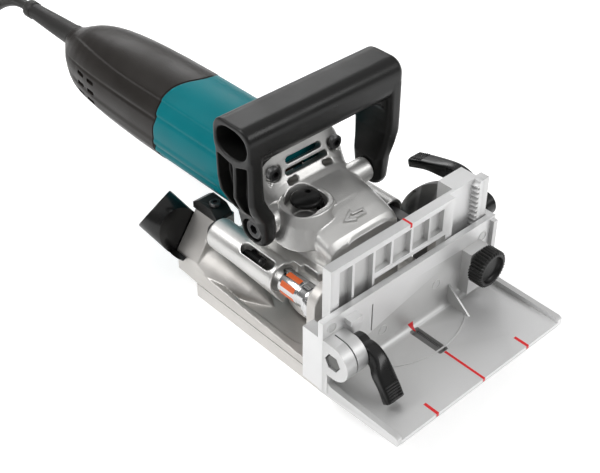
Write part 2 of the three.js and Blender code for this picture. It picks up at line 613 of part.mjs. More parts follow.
// ---------------------------------------------------------------- fence
const EAR = [-7.2, 46.2]; // Y and Z of the fence clamp
function fence() {
  const plate = block(-63.2, 63.2, PLATE_FRONT, 1, PLATE_LOW, PLATE_TOP);
  const wall = block(-FENCE_HALF, FENCE_HALF, 0, WALL_REAR, PLATE_LOW, FENCE_TOP);
  const flange = (x0, x1) => prism('x', [
    [PLATE_FRONT, 21.5], [0, 18.5], [WALL_REAR, 18.5], [WALL_REAR, 30], [-4, 27.4], [PLATE_FRONT, 27],
  ], x0, x1);
  const cheek = (x0, x1, rear, top) => prism('x', [[0, 21], [rear, 21], [rear, top], [0, top]], x0, x1);
  const ear = prism('x', [
    [WALL_REAR, EAR[1] - 11], ...arc(EAR, 11, 270, 90, 12), [WALL_REAR, EAR[1] + 11],
  ], -66.9, -52);
  const stepUp = block(40, 53.6, -6.5, 1, 29, 57);
  const knobWay = rod('y', 3.4, -10, 10, [RACK_X - PINION_R, KNOB_Z], 16);
  const split = block(-60, -59.2, -20, 20, 30, 60);
  return without(
    union(
      plate, wall, ear, stepUp,
      flange(-66.5, -63), flange(63, 66.5),
      cheek(-66.9, -59.4, 15, 57), cheek(62.9, FENCE_HALF, 8.5, FENCE_TOP),
    ),
    block(-58.1, 62.9, WALL_REAR, 20, 10, 90),
    split.intersect(block(-70, -50, -30, -1, 0, 100)),
    prism('z', roundedRect(-3.4, 3.4, -25.8, -2.9, 1), 10, 30),
    knobWay,
    rod('x', 3.3, -70, -50, EAR, 16),
    rod('x', 5.4, -70, -63.5, EAR, 6),
  );
}
piece('fence', 'castAluminium', fence());
piece('fence_clamp_bolt', 'darkSteel', union(
  rod('x', 4.9, -66.4, -63.9, EAR, 6),
  rod('x', 3, -64, -44, EAR, 16),
));

// ---------------------------------------------------------------- height knob and its pinion
const KNOB_AT = [RACK_X - PINION_R, KNOB_Z];
function heightKnob() {
  const fluted = Array.from({ length: 60 }, (_, i) => {
    const angle = (2 * Math.PI * i) / 60;
    const r = i % 2 ? 11.5 : 10.8;
    return [KNOB_AT[0] + r * Math.cos(angle), KNOB_AT[1] + r * Math.sin(angle)];
  });
  const body = prism('y', fluted, -16.6, -8);
  const dish = turned('y', [[0, -17.5], [8.6, -17.5], [7.6, -14.6], [0, -14.6]], KNOB_AT, 24);
  return without(body, dish, rod('y', 3.3, -12, -7, KNOB_AT, 16));
}
piece('height_knob', 'blackPlastic', heightKnob());
function rackPinion() {
  const teeth = 2 * Math.PI * PINION_R / RACK_PITCH;
  const outline = toothedOutline(KNOB_AT, PINION_R - 1.9, PINION_R - 0.3, Math.round(teeth));
  return union(prism('y', outline, WALL_REAR + 0.4, 8.2), rod('y', 3, -11.7, 4.2, KNOB_AT, 16));
}
piece('rack_pinion', 'brightSteel', rackPinion());

// ---------------------------------------------------------------- clamp levers
// Both levers are one curved finger, thinner at mid-length, from a round hub to a tip.
// Their spines start at the hub; widths are measured up and down from the spine.
function clampLever(x0, x1, at, hubR, spine, bore) {
  const last = spine.length - 1;
  const half = (i) => 4.4 - 1.2 * Math.sin((Math.PI * i) / last);
  const upper = spine.map(([y, z], i) => [y, z + half(i)]);
  const lower = spine.map(([y, z], i) => [y, z - half(i)]);
  const runsRearward = spine[last][0] > spine[0][0];
  const outline = runsRearward ? [...lower, ...upper.reverse()] : [...upper, ...lower.reverse()];
  return union(prism('x', outline, x0, x1), rod('x', hubR, x0, x1, at, 28))
    .subtract(rod('x', bore, x0 - 1, x1 + 1, at, 16));
}
piece('fence_lever', 'blackPlastic', clampLever(-51.6, -43.4, EAR, 6.8,
  [[-7.2, 46.2], [-13, 48.2], [-19, 46], [-25, 41.6], [-30.6, 35.6], [-33.8, 30.4]], 3.3));
piece('tilt_lever', 'blackPlastic', clampLever(67.8, 76.8, CLAMP, 7.5,
  [[14.2, 64.4], [22, 72.5], [32, 75.8], [44, 75.4], [55, 73.6], [65.6, 70.2]], 2.8));

// ---------------------------------------------------------------- turret, button, switch slider
const TURRET_END = 56.4;
function depthTurret() {
  const body = turned('y', [
    [0, 27], [10, 27], [10, 30.5], [8.8, 31], [8.8, 33.1], [7.2, 33.7], [7.2, TURRET_END], [3.8, TURRET_END],
    [3.8, 50], [0, 50],
  ], [-SIDE_X, SIDE_Z], 24);
  const step = block(-SIDE_X - 10, -SIDE_X, TURRET_END - 3, TURRET_END + 1, SIDE_Z - 10, SIDE_Z + 10);
  return without(body, rod('y', 2.3, 26, 48.5, [-SIDE_X, SIDE_Z], 16), step);
}
piece('depth_turret', 'brightSteel', depthTurret());

function lockButton() {
  const cap = rod('z', BUTTON_R, BUTTON_UNDERSIDE, BUTTON_TOP, BUTTON_AT);
  return union(cap, rod('z', 2, 74.2, 82, LOCK_PIN_AT, 16))
    .subtract(rod('z', 1.5, BUTTON_TOP - 1.4, BUTTON_TOP + 2, [BUTTON_AT[0] + 4, BUTTON_AT[1] + 3], 12));
}
piece('shaft_lock_button', 'blackPlastic', lockButton());

function switchSlider() {
  const pad = prism('z', roundedRect(26, 35.2, 168, 186, 1.6), 69, 81);
  const clearBarrel = rod('y', MOTOR_R + 0.5, 150, 200, [0, MOTOR_Z], 40);
  return pad.subtract(clearBarrel).add(block(28.4, 32, 174, 178, 73, 77));
}
piece('switch_slider', 'blackPlastic', switchSlider());

// ---------------------------------------------------------------- cord and plug
const EXIT_Z = MOTOR_Z + 3;
const TURN_END = COIL_TURN_RADII[3];
const CORD_ROUTE = [
  [0, GUARD_END + GAP, EXIT_Z], [0, 388, 77.6], [-0.5, 400, 74.5], [-1.5, 412, 69], [-3, 424, 61],
  [-5, 436, 51], [-7, 448, 40], [-9, 460, 29], [-11, 472, 19], [-12.6, 483, 11], [-13.6, 493, 6],
  [-14, 502, 4], [-14, 507, 3.8],
];
const TAIL_ROUTE = [
  [-74, 569, 9.5], [-90, 569.5, 5.5], [-106, 567, 3.8], [-121, 559, 3.6], [-133, 546, 3.6], [-141, 530, 3.6],
  [-144, 513, 3.6], [-144, 496, 3.8], [-144, 481, 5.5], [-144, 470, 9], [-144, 462, 11], [-144, 456.1, 11],
];
piece('power_cord', 'rubber', sweep(CORD_ROUTE, CORD_R, 8, 22));
piece('cord_coil', 'rubber', (() => {
  const inner = COIL_TURN_RADII[0] - CORD_R;
  const outer = TURN_END + CORD_R;
  return ring('z', inner, outer, 0, 4 * CORD_R, COIL_AT, 40);
})());
piece('cord_tail', 'rubber', sweep(TAIL_ROUTE, CORD_R, 8, 18));
function plug() {
  const body = loft('y', [
    [410, superellipse(-144, 11, 16, 9.5, 4, 24)],
    [418, superellipse(-144, 11, 17.5, 11, 4, 24)],
    [434, superellipse(-144, 11, 13, 10, 3, 24)],
    [444, superellipse(-144, 11, 7, 7, 2, 24)],
    [455.6, superellipse(-144, 11, 5, 5, 2, 24)],
  ]);
  const pin = (x) => rod('y', 2.4, 391, 411, [x, 11], 16);
  return union(body, pin(-153.5), pin(-134.5));
}
piece('plug', 'blackPlastic', plug());

export default group;
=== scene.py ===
"""Biscuit joiner: the looks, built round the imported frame. Helpers take millimetres, and Y from the front
of the base; place() turns them into the frame's metres."""
from math import atan2, copysign, cos, degrees, exp, hypot, pi, radians, sin, tanh
import bmesh
import bpy
from mathutils import Matrix, Vector


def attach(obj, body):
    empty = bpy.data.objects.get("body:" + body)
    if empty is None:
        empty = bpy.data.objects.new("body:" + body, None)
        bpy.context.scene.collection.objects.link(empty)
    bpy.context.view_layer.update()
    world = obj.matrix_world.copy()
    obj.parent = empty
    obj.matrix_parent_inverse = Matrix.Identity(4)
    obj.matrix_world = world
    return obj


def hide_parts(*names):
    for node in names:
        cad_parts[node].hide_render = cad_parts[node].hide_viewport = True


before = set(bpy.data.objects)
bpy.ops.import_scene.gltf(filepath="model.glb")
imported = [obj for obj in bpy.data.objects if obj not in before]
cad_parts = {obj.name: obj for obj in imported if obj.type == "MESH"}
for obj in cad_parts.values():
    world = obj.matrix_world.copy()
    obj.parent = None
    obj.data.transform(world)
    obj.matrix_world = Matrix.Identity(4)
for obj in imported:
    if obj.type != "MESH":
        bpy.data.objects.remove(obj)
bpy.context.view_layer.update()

# ---- driving dimensions
MM = 0.001
SPINDLE_Y = 53
MOTOR_Z = 75

# axes along x, as (y, z)
HINGE = (2.2, 17.9)
TILT_STUD = (14.2, 64.4)
EAR = (-7.2, 46.2)
HANDLE_BOLT = (75, 75)

# axes along y, as (x, z); the tubes and the corner screws are also there on the other side
SIDE_X, SIDE_Z = 43, 49
LEFT_TUBE, RIGHT_TUBE = (-SIDE_X, SIDE_Z), (SIDE_X, SIDE_Z)
KNOB = (48, 48)
SCREW_AT = (23.2, 94.8)

# upright axes, as (x, y)
BUTTON = (-15, 68.6)
LOCK_PIN = (-9.8, 62.4)

# the rear end of the tool and the cord
TAIL_Y = 316
GUARD_END = 376
EXIT_Z = 78
CORD_R = 3.5
COIL_AT = (-74, 508)
COIL_OUTER, COIL_PITCH = 52.5, 7
COIL_TURNS = 3
PLUG_AT = (-144, 11)


def place(x, y, z):
    return Vector((x * MM, (y - SPINDLE_Y) * MM, z * MM))


def add_object(name, data):
    thing = bpy.data.objects.new(name, data)
    bpy.context.scene.collection.objects.link(thing)
    return thing


# ---- camera
CAMERA_AT = (-354.8, -295.7, 452.2)
CAMERA_AZIMUTH, CAMERA_ELEVATION = -42.63, 38.48
CAMERA_LENS, SENSOR_WIDTH = 67.56, 36
CLIP_START = 10


def make_camera():
    data = bpy.data.cameras.new("camera")
    data.lens = CAMERA_LENS
    data.sensor_width = SENSOR_WIDTH
    data.clip_start = CLIP_START * MM
    camera = add_object("camera", data)
    camera.location = place(*CAMERA_AT)
    camera.rotation_euler = (radians(90 - CAMERA_ELEVATION), 0, radians(CAMERA_AZIMUTH))
    bpy.context.scene.camera = camera


make_camera()


# ---- materials
def fill(node, values):
    """Sets a node's inputs by name."""
    for key, value in values.items():
        node.inputs[key].default_value = value


class Nodes:
    """A short way to write a node tree: noise, span, mix, bump and edges each return an output."""

    def __init__(self, name):
        self.material = bpy.data.materials.new(name)
        self.material.use_nodes = True
        self.tree = self.material.node_tree
        self.shader = self.tree.nodes["Principled BSDF"]
        self.where = self.add("ShaderNodeTexCoord").outputs["Object"]

    def add(self, kind, **settings):
        node = self.tree.nodes.new(kind)
        for key, value in settings.items():
            setattr(node, key, value)
        return node

    def link(self, output, socket):
        self.tree.links.new(output, socket)

    def noise(self, scale, detail, stretch):
        node = self.add("ShaderNodeTexNoise")
        fill(node, {"Scale": scale, "Detail": detail})
        where = self.where
        if stretch:
            mapping = self.add("ShaderNodeMapping")
            fill(mapping, {"Scale": stretch})
            self.link(where, mapping.inputs["Vector"])
            where = mapping.outputs["Vector"]
        self.link(where, node.inputs["Vector"])
        return node.outputs["Fac"]

    def span(self, value, low, high, start=0.3, end=0.7):
        node = self.add("ShaderNodeMapRange")
        fill(node, {"From Min": start, "From Max": end, "To Min": low, "To Max": high})
        self.link(value, node.inputs["Value"])
        return node.outputs["Result"]

    def mix(self, factor, first, second):
        node = self.add("ShaderNodeMix", data_type="RGBA")
        self.link(factor, node.inputs[0])
        for value, socket in ((first, node.inputs[6]), (second, node.inputs[7])):
            if isinstance(value, tuple):
                socket.default_value = (*value, 1)
            else:
                self.link(value, socket)
        return node.outputs[2]

    def bump(self, height, strength, distance):
        node = self.add("ShaderNodeBump")
        fill(node, {"Strength": strength, "Distance": distance})
        self.link(height, node.inputs["Height"])
        return node.outputs["Normal"]

    def edges(self):
        return self.span(self.add("ShaderNodeNewGeometry").outputs["Pointiness"], 0, 1, 0.52, 0.6)


def shade(colour, amount):
    return tuple(min(1.0, c * amount) for c in colour)


MOTTLE_SCALE = 38
GRAIN_HEIGHT = 0.2
COAT_ROUGHNESS = 0.15


def finish(name, colour, rough, metal=0.0, grain=900, grain_depth=0.2, worn=None, stretch=None,
           coat=0.0, patches=0.1, spread=0.07, shine=0.5):
    """One finish: a coarse noise mottles colour and gloss, a fine one gives the grain, and the edges
    take the worn colour."""
    nodes = Nodes(name)
    coarse = nodes.noise(MOTTLE_SCALE, 4, stretch)
    fine = nodes.noise(grain, 2, stretch)
    tone = nodes.mix(nodes.span(coarse, 0, 1), shade(colour, 1 - patches), shade(colour, 1 + patches))
    if worn:
        tone = nodes.mix(nodes.edges(), tone, worn)
    inputs = nodes.shader.inputs
    nodes.link(tone, inputs["Base Color"])
    nodes.link(nodes.span(coarse, rough - spread, rough + spread), inputs["Roughness"])
    nodes.link(nodes.bump(fine, grain_depth, GRAIN_HEIGHT * MM), inputs["Normal"])
    fill(nodes.shader, {"Metallic": metal, "Specular IOR Level": shine, "Coat Weight": coat,
                        "Coat Roughness": COAT_ROUGHNESS})
    return nodes.material


LOOK = {
    "cast": finish("cast_aluminium", (0.6, 0.58, 0.555), 0.45, 0.7, 1500, 0.4, (0.8, 0.785, 0.765)),
    "housing": finish("bright_casting", (0.66, 0.655, 0.64), 0.38, 0.85, 1300, 0.4, (0.84, 0.84, 0.83)),
    "milled": finish("milled_aluminium", (0.62, 0.62, 0.615), 0.48, 0.65, 2000, 0.4, (0.78, 0.78, 0.78),
                     patches=0.05),
    "chrome": finish("chrome", (0.6, 0.6, 0.6), 0.17, 1.0, 600, 0.04, patches=0.04, spread=0.03),
    "steel": finish("turned_steel", (0.5, 0.5, 0.5), 0.28, 1.0, 1200, stretch=(1, 14, 1)),
    "dark_steel": finish("blackened_steel", (0.03, 0.03, 0.031), 0.34, 0.6, 1500, 0.3, (0.14, 0.14, 0.14)),
    "quadrant": finish("grey_plate", (0.17, 0.17, 0.167), 0.42, 0.7, 1200, 0.3, (0.36, 0.36, 0.36)),
    "black": finish("black_moulding", (0.008, 0.008, 0.0076), 0.34, 0, 1700, 0.35, (0.03, 0.03, 0.029),
                    shine=0.3),
    "gloss": finish("glossy_black", (0.005, 0.005, 0.005), 0.28, 0, 500, 0.08, coat=0.12, spread=0.04,
                    shine=0.35),
    "rear": finish("grey_brown_moulding", (0.02, 0.017, 0.015), 0.38, 0, 1900, 0.4, (0.045, 0.041, 0.037),
                   shine=0.2),
    "teal": finish("teal_moulding", (0.0, 0.175, 0.205), 0.4, 0, 1700, 0.3, (0.005, 0.24, 0.28),
                   patches=0.06, shine=0.12),
    "rubber": finish("rubber", (0.016, 0.015, 0.014), 0.5, 0, 1300, 0.4, (0.045, 0.045, 0.04), shine=0.35),
    "red": finish("red_paint", (0.72, 0.012, 0.018), 0.45, patches=0.08),
    "orange": finish("orange_paint", (0.72, 0.13, 0.03), 0.4, patches=0.08),
    "shadowed": finish("shadowed_casting", (0.16, 0.16, 0.155), 0.5, 0.7, 1200, 0.3),
    "nylon": finish("nylon", (0.6, 0.57, 0.48), 0.5),
    "brass": finish("brass", (0.7, 0.48, 0.2), 0.3, 1.0),
    "copper": finish("windings", (0.5, 0.2, 0.1), 0.35, 0.9, 300, 0.6, stretch=(1, 6, 1)),
    "carbon": finish("carbon", (0.03, 0.03, 0.03), 0.7, 0, 900, 0.3),
}


# ---- meshes
def new_object(name, verts, faces):
    mesh = bpy.data.meshes.new(name)
    mesh.from_pydata([place(*v) for v in verts], [], faces)
    build = bmesh.new()
    build.from_mesh(mesh)
    bmesh.ops.remove_doubles(build, verts=build.verts, dist=1e-7)
    bmesh.ops.recalc_face_normals(build, faces=build.faces)
    if build.calc_volume(signed=True) < 0:
        bmesh.ops.reverse_faces(build, faces=build.faces)
    build.to_mesh(mesh)
    build.free()
    return add_object(name, mesh)


AXES = {
    "x": lambda u, v, w: (w, u, v),
    "y": lambda u, v, w: (u, w, v),
    "z": lambda u, v, w: (u, v, w),
}


def bands(rows, sides):
    """The faces that join one row of points to the next, and close both ends."""
    last = (rows - 1) * sides
    faces = [list(range(sides)), list(range(last, last + sides))]
    for row in range(rows - 1):
        for k in range(sides):
            a, b = row * sides + k, row * sides + (k + 1) % sides
            faces.append([a, b, b + sides, a + sides])
    return faces


def loft(axis, sections):
    """Skins a row of closed outlines, each (place along the axis, points), with caps on both ends."""
    at = AXES[axis]
    verts = [at(u, v, w) for w, points in sections for u, v in points]
    return new_object("loft", verts, bands(len(sections), len(sections[0][1])))


def prism(axis, outline, low, high):
    return loft(axis, [(low, outline), (high, outline)])


def block(x0, x1, y0, y1, z0, z1):
    return prism("z", [(x0, y0), (x1, y0), (x1, y1), (x0, y1)], z0, z1)


def arc(centre, radius, start, end, steps=12):
    turns = [radians(start + (end - start) * i / steps) for i in range(steps + 1)]
    return [(centre[0] + radius * cos(t), centre[1] + radius * sin(t)) for t in turns]


def ring_points(centre, radius, sides=64):
    return arc(centre, radius, 0, 360 - 360 / sides, sides - 1)


def rounded(u0, u1, v0, v1, r, steps=6):
    corners = ((u1 - r, v0 + r, -90), (u1 - r, v1 - r, 0), (u0 + r, v1 - r, 90), (u0 + r, v0 + r, 180))
    return [p for u, v, start in corners for p in arc((u, v), r, start, start + 90, steps)]


def oval(u, v, half_u, half_v, power, steps):
    points = []
    for i in range(steps):
        c, s = cos(2 * pi * i / steps), sin(2 * pi * i / steps)
        along_u = copysign(abs(c) ** (2 / power), c)
        along_v = copysign(abs(s) ** (2 / power), s)
        points.append((u + half_u * along_u, v + half_v * along_v))
    return points


def oval_loft(axis, rows, steps=72):
    """Skins a row of ovals: place along the axis, middle u and v, half width, half height, squareness."""
    return loft(axis, [(w, oval(*shape, steps)) for w, *shape in rows])


def turned(axis, profile, at, sides=72):
    """A turned piece from [radius, place along the axis] points; ends with a radius are capped flat."""
    rows = [(w, ring_points(at, max(r, 0.01), sides)) for r, w in profile]
    return loft(axis, rows)


def rod(axis, radius, low, high, at, sides=56, chamfer=0.0):
    if not chamfer:
        return turned(axis, [(radius, low), (radius, high)], at, sides)
    small = radius - chamfer
    profile = [(small, low), (radius, low + chamfer), (radius, high - chamfer), (small, high)]
    return turned(axis, profile, at, sides)


def side_rod(side, radius, near, far, at, sides=56):
    """A rod along x on the left (side -1) or the right (side 1), from near to far off the middle."""
    low, high = sorted((side * near, side * far))
    return rod("x", radius, low, high, at, sides)


def smooth_path(points, per_span):
    """A Catmull-Rom line through the points."""
    pts = [Vector(p) for p in points]
    pts = [pts[0] * 2 - pts[1]] + pts + [pts[-1] * 2 - pts[-2]]
    line = []
    for i in range(1, len(pts) - 2):
        a, b, c, d = pts[i - 1:i + 3]
        for k in range(per_span):
            t = k / per_span
            line.append(0.5 * (2 * b + (c - a) * t + (2 * a - 5 * b + 4 * c - d) * t * t
                               + (3 * b - a - 3 * c + d) * t * t * t))
    return line + [pts[-2]]


def modify(piece, name, kind, **settings):
    modifier = piece.modifiers.new(name, kind)
    for key, value in settings.items():
        setattr(modifier, key, value)


def bake_modifiers(piece):
    bpy.context.view_layer.update()
    graph = bpy.context.evaluated_depsgraph_get()
    mesh = bpy.data.meshes.new_from_object(piece.evaluated_get(graph))
    piece.modifiers.clear()
    piece.data = mesh
    return piece


def boolean(piece, tool, operation):
    modify(piece, "boolean", "BOOLEAN", operation=operation, solver="MANIFOLD", object=tool)
    bake_modifiers(piece)
    bpy.data.objects.remove(tool)
    return piece


def union(piece, *others):
    for other in others:
        boolean(piece, other, "UNION")
    return piece


def cut(piece, *tools):
    for tool in tools:
        boolean(piece, tool, "DIFFERENCE")
    return piece


def melt(piece, voxel, passes=4, keep=0.35):
    """Gives a casting its soft edges: voxels, a few smoothing passes, then fewer faces."""
    modify(piece, "remesh", "REMESH", mode="VOXEL", voxel_size=voxel * MM)
    modify(piece, "soft", "SMOOTH", factor=0.5, iterations=passes)
    modify(piece, "fewer", "DECIMATE", ratio=keep)
    return bake_modifiers(piece)


def soften(piece, width, segments=2, angle=35):
    """Breaks the sharp edges of a machined or moulded piece."""
    modify(piece, "bevel", "BEVEL", width=width * MM, segments=segments, limit_method="ANGLE",
           angle_limit=radians(angle))
    return bake_modifiers(piece)


def wear(piece, name, body, look, replaces=None, sharp=40, flat=False):
    """Names the piece, shades it, hangs it on its body and hides the CAD part it replaces; flat keeps broad
    faces evenly lit.
    """
    piece.name = name
    piece.data.name = name
    piece.data.materials.clear()
    piece.data.materials.append(LOOK[look])
    piece.data.shade_smooth()
    piece.data.set_sharp_from_angle(angle=radians(sharp))
    if flat:
        modify(piece, "normals", "WEIGHTED_NORMAL", keep_sharp=True, weight=90)
    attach(piece, body)
    if replaces:
        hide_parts(replaces)
    return piece


# ---- cord, strain relief, plug
CORD_ROUTE = [
    (0, GUARD_END + 0.3, EXIT_Z), (0, 388, 77.6), (-0.5, 400, 74.5), (-1.5, 412, 69), (-3, 424, 61),
    (-5, 436, 51), (-7, 448, 40), (-9, 460, 29), (-11, 472, 19), (-12.6, 483, 11), (-13.6, 493, 6),
    (-14, 502, 4), (-14, 507, 3.8),
]
TAIL_ROUTE = [
    (-74, 569, 9.5), (-90, 569.5, 5.5), (-106, 567, 3.8), (-121, 559, 3.6), (-133, 546, 3.6),
    (-141, 530, 3.6), (-144, 513, 3.6), (-144, 496, 3.8), (-144, 481, 5.5), (-144, 470, 9),
    (-144, 462, 11), (-144, 456.1, 11),
]
COIL_STEPS = 20
UPPER_TURNS = 2.75
EASE_TURNS, EASE_IN, EASE_OUT = 0.45, 7.5, 10.2


def coil_point(turns, radius, z):
    angle = 2 * pi * turns
    return (COIL_AT[0] + radius * cos(angle), COIL_AT[1] + radius * sin(angle), z)


def coil_route():
    """Winds in on the floor, climbs a layer at the middle, and winds out again on top. The ends ease
    outwards, to meet the lengths that lead there."""
    inner = COIL_OUTER - COIL_PITCH * COIL_TURNS
    points = []
    for i in range(1, COIL_TURNS * COIL_STEPS + 1):
        turns = i / COIL_STEPS
        ease = max(0.0, 1 - turns / EASE_TURNS) ** 2
        points.append(coil_point(turns, COIL_OUTER - COIL_PITCH * turns + EASE_IN * ease, CORD_R))
    climb_steps = COIL_STEPS // 2
    for i in range(1, climb_steps + 1):
        turns = COIL_TURNS + i / COIL_STEPS
        lift = 0.5 - 0.5 * cos(pi * i / climb_steps)
        points.append(coil_point(turns, inner, CORD_R + lift * 2 * CORD_R))
    start = COIL_TURNS + 0.5
    for i in range(1, int(UPPER_TURNS * COIL_STEPS)):
        turns = i / COIL_STEPS
        ease = max(0.0, (turns - UPPER_TURNS + EASE_TURNS) / EASE_TURNS) ** 2
        radius = inner + COIL_PITCH * turns + EASE_OUT * ease
        points.append(coil_point(start + turns, radius, CORD_R * 3 - ease))
    return points


def make_cord():
    points = smooth_path(CORD_ROUTE + coil_route() + TAIL_ROUTE, 3)
    curve = bpy.data.curves.new("power_cord", "CURVE")
    curve.dimensions = "3D"
    curve.bevel_depth = CORD_R * MM
    curve.bevel_resolution = 5
    curve.use_fill_caps = True
    spline = curve.splines.new("POLY")
    spline.points.add(len(points) - 1)
    for target, p in zip(spline.points, points):
        target.co = (*place(*p), 1)
    spline.use_smooth = True
    curve.materials.append(LOOK["rubber"])
    cord = add_object("mains_cord", curve)
    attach(cord, "motor_unit")
    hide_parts("power_cord", "cord_coil", "cord_tail")
    placed = [place(*p) for p in points]
    return cord, sum((b - a).length for a, b in zip(placed, placed[1:]))


def make_guard():
    profile = [(8.2, TAIL_Y - 4), (8.2, TAIL_Y + 2), (7.6, TAIL_Y + 4), (7.2, TAIL_Y + 16),
               (6.6, TAIL_Y + 32), (5.9, GUARD_END - 12), (5.6, GUARD_END - 8), (6.3, GUARD_END - 7),
               (6.4, GUARD_END - 1.2), (5.6, GUARD_END)]
    body = soften(turned("y", profile, (0, EXIT_Z)), 0.25)
    wear(body, "strain_relief", "motor_unit", "rubber", "cord_guard", 50)


# (y, half width, half height, squareness) of the plug's cross sections
PLUG_ROWS = [
    (410, 15, 9, 4), (411, 16, 9.6, 4), (418, 17.3, 10.8, 4), (426, 16, 10.6, 3.6),
    (434, 12.6, 9.8, 3), (440, 8.6, 8, 2.4), (444, 6.8, 6.8, 2), (455.6, 5, 5, 2),
]
PIN_R, PIN_OFFSET = 2.4, 9.5


def make_plug():
    x, z = PLUG_AT
    body = oval_loft("y", [(y, x, z, wide, tall, power) for y, wide, tall, power in PLUG_ROWS], 48)
    pieces = [wear(soften(body, 0.5), "mains_plug", "motor_unit", "black", "plug", 50)]
    for side, word in ((-1, "left"), (1, "right")):
        pin = rod("y", PIN_R, 391, 411, (x + side * PIN_OFFSET, z), 24, 0.8)
        pieces.append(wear(pin, f"plug_pin_{word}", "motor_unit", "chrome"))
    return pieces


cord, cord_length = make_cord()
make_guard()
plug_pieces = make_plug()
place(*CORD_ROUTE[0])


# ---- motor housing and rear cover
# angles go round the barrel: 0 is the right side, 90 the top, 180 the left side
HOUSING_FRONT = 96.3
SEAM_Y, SEAM_GAP = 190, 0.35
COLLAR_END, COLLAR_FADE = 100, 15
FRONT_COLLAR = 33.3
BARREL_R = 30.6
BARREL_DROP = 2
SHELL_WALL = 3.4


def dip(angle, centre, width, depth):
    return depth * exp(-((angle - centre) / width) ** 2)


def seam_y(angle):
    """The joint between the two mouldings sweeps forward over the top of the barrel."""
    return SEAM_Y - dip(angle, 80, 30, 11) - dip(angle, 160, 6, 1.4)


def step(value, width):
    """Goes smoothly from 0 to 1 as value passes 0."""
    return 0.5 + 0.5 * tanh(value / width)


def mirrored(angle):
    """Both sides of the barrel are alike: folds the right side's angles onto the left's."""
    return 180 - angle if angle < 90 else angle


def collar_share(y):
    """1 where the barrel has the shape of its front collar, fading to 0 behind it."""
    t = min(1, max(0, (y - COLLAR_END) / COLLAR_FADE))
    return 1 - t * t * (3 - 2 * t)


def barrel_radius(angle, y):
    """Round with a stepped flank behind, and nearly square where it meets the gear housing."""
    turn = radians(angle)
    square = (abs(cos(turn)) ** 3 + abs(sin(turn)) ** 3) ** (-1 / 3)
    a = mirrored(angle)
    flank = 0.9 * step(a - 136, 1.1) * step(187 - a, 1.5)
    lines = dip(a, 156, 1.6, 0.6) + dip(a, 196, 1.8, 0.7) - dip(a, 202, 3, 0.8) + dip(a, 208, 1.8, 0.7)
    share = collar_share(y)
    return share * FRONT_COLLAR * square + (1 - share) * (BARREL_R - flank - lines)


COVER_PROFILE = [
    (178, 30.9), (192, 30.9), (215, 30.7), (235, 30.1), (250, 29.4), (262, 28.5), (272, 27.4),
    (280, 26.1), (288, 24.3), (295, 22), (301, 19.3), (306, 16.6), (310, 14), (313.5, 11.6),
    (TAIL_Y, 9.8),
]
COVER_DROP = [(178, 2), (240, 2.3), (300, 2.7), (308, 2.2), (TAIL_Y, -0.4)]


def along_profile(profile, y):
    for (y0, v0), (y1, v1) in zip(profile, profile[1:]):
        if y <= y1:
            return v0 + (v1 - v0) * max(0, (y - y0) / (y1 - y0))
    return profile[-1][1]


def barrel_skin(rows, radius, y_at, rise):
    """A round skin whose rows follow a function of the angle, closed at both ends."""
    sides = 300
    verts = []
    for row in rows:
        for k in range(sides):
            angle = -90 + 360 * k / sides
            y = y_at(row, angle)
            r = radius(angle, y)
            turn = radians(angle)
            verts.append((r * cos(turn), y, MOTOR_Z + rise(y) + r * sin(turn)))
    return new_object("skin", verts, bands(len(rows), sides))


def make_motor_housing():
    def y_at(row, angle):
        return HOUSING_FRONT + row * (seam_y(angle) - SEAM_GAP - HOUSING_FRONT)

    def rise(y):
        return -BARREL_DROP * (1 - collar_share(y))

    body = barrel_skin([i / 60 for i in range(61)], barrel_radius, y_at, rise)
    foot = oval_loft("y", [(HOUSING_FRONT + 1, 0, 52, 24, 13, 5), (108, 0, 53.4, 22.4, 12.8, 5),
                           (116, 0, 55, 20.4, 12, 5), (118, 0, 55, 18.8, 10.6, 4)])
    shaft_hole = rod("y", 12, 90, 104, (0, MOTOR_Z))
    inside = rod("y", 27.6, 99, 196, (0, MOTOR_Z), 96)
    switch_slot = block(24, 40, 164.5, 179, 72, 78)
    union(body, foot)
    cut(body, shaft_hole, inside, switch_slot)
    soften(body, 0.35, 2, 50)
    wear(body, "teal_housing", "motor_unit", "teal", "motor_housing", 45)


def rear_vents():
    """Two short columns of three slots on each side, cut as pockets and not right through."""
    column_starts, length, half_height = (257, 270), 8.5, 1.3
    vents = []
    for side in (-1, 1):
        low, high = sorted((side * 20, side * 35))
        for angle in (170, 184, 197):
            z = MOTOR_Z - 2.6 + 29 * sin(radians(angle))
            for y in column_starts:
                outline = rounded(y, y + length, z - half_height, z + half_height, 1.2)
                vents.append(prism("x", outline, low, high))
    return vents


def make_rear_cover():
    def y_at(row, angle):
        start = seam_y(angle)
        return start + row * (TAIL_Y - start)

    def rise(y):
        return -along_profile(COVER_DROP, y)

    def radius(angle, y):
        near = min(1, max(0, (306 - y) / 24))
        a = mirrored(angle)
        top_edge = 136 - 10 * max(0, (y - 217) / 67) ** 2
        flank = 1.1 * step(a - top_edge, 1.3) * step(188 - a, 2.5)
        lines = dip(a, 160, 2, 0.5) - dip(a, 200, 5, 0.7)
        lip = 0.55 if y < seam_y(angle) + 0.9 else 0
        return along_profile(COVER_PROFILE, y) - near * (flank + lines) - lip

    rows = [0, 0.004, 0.008] + [0.012 + 0.988 * i / 74 for i in range(75)]
    body = barrel_skin(rows, radius, y_at, rise)
    inside = []
    for y in (178, 215, 235, 250):
        middle = (0, MOTOR_Z + rise(y))
        inside.append((y, ring_points(middle, along_profile(COVER_PROFILE, y) - SHELL_WALL, 96)))
    cord_hole = rod("y", 6.8, 290, TAIL_Y + 1, (0, EXIT_Z), 32)
    cut(body, loft("y", inside), cord_hole, *rear_vents())
    wear(body, "rear_shell", "motor_unit", "rear", "rear_cover", 38)


make_motor_housing()
make_rear_cover()


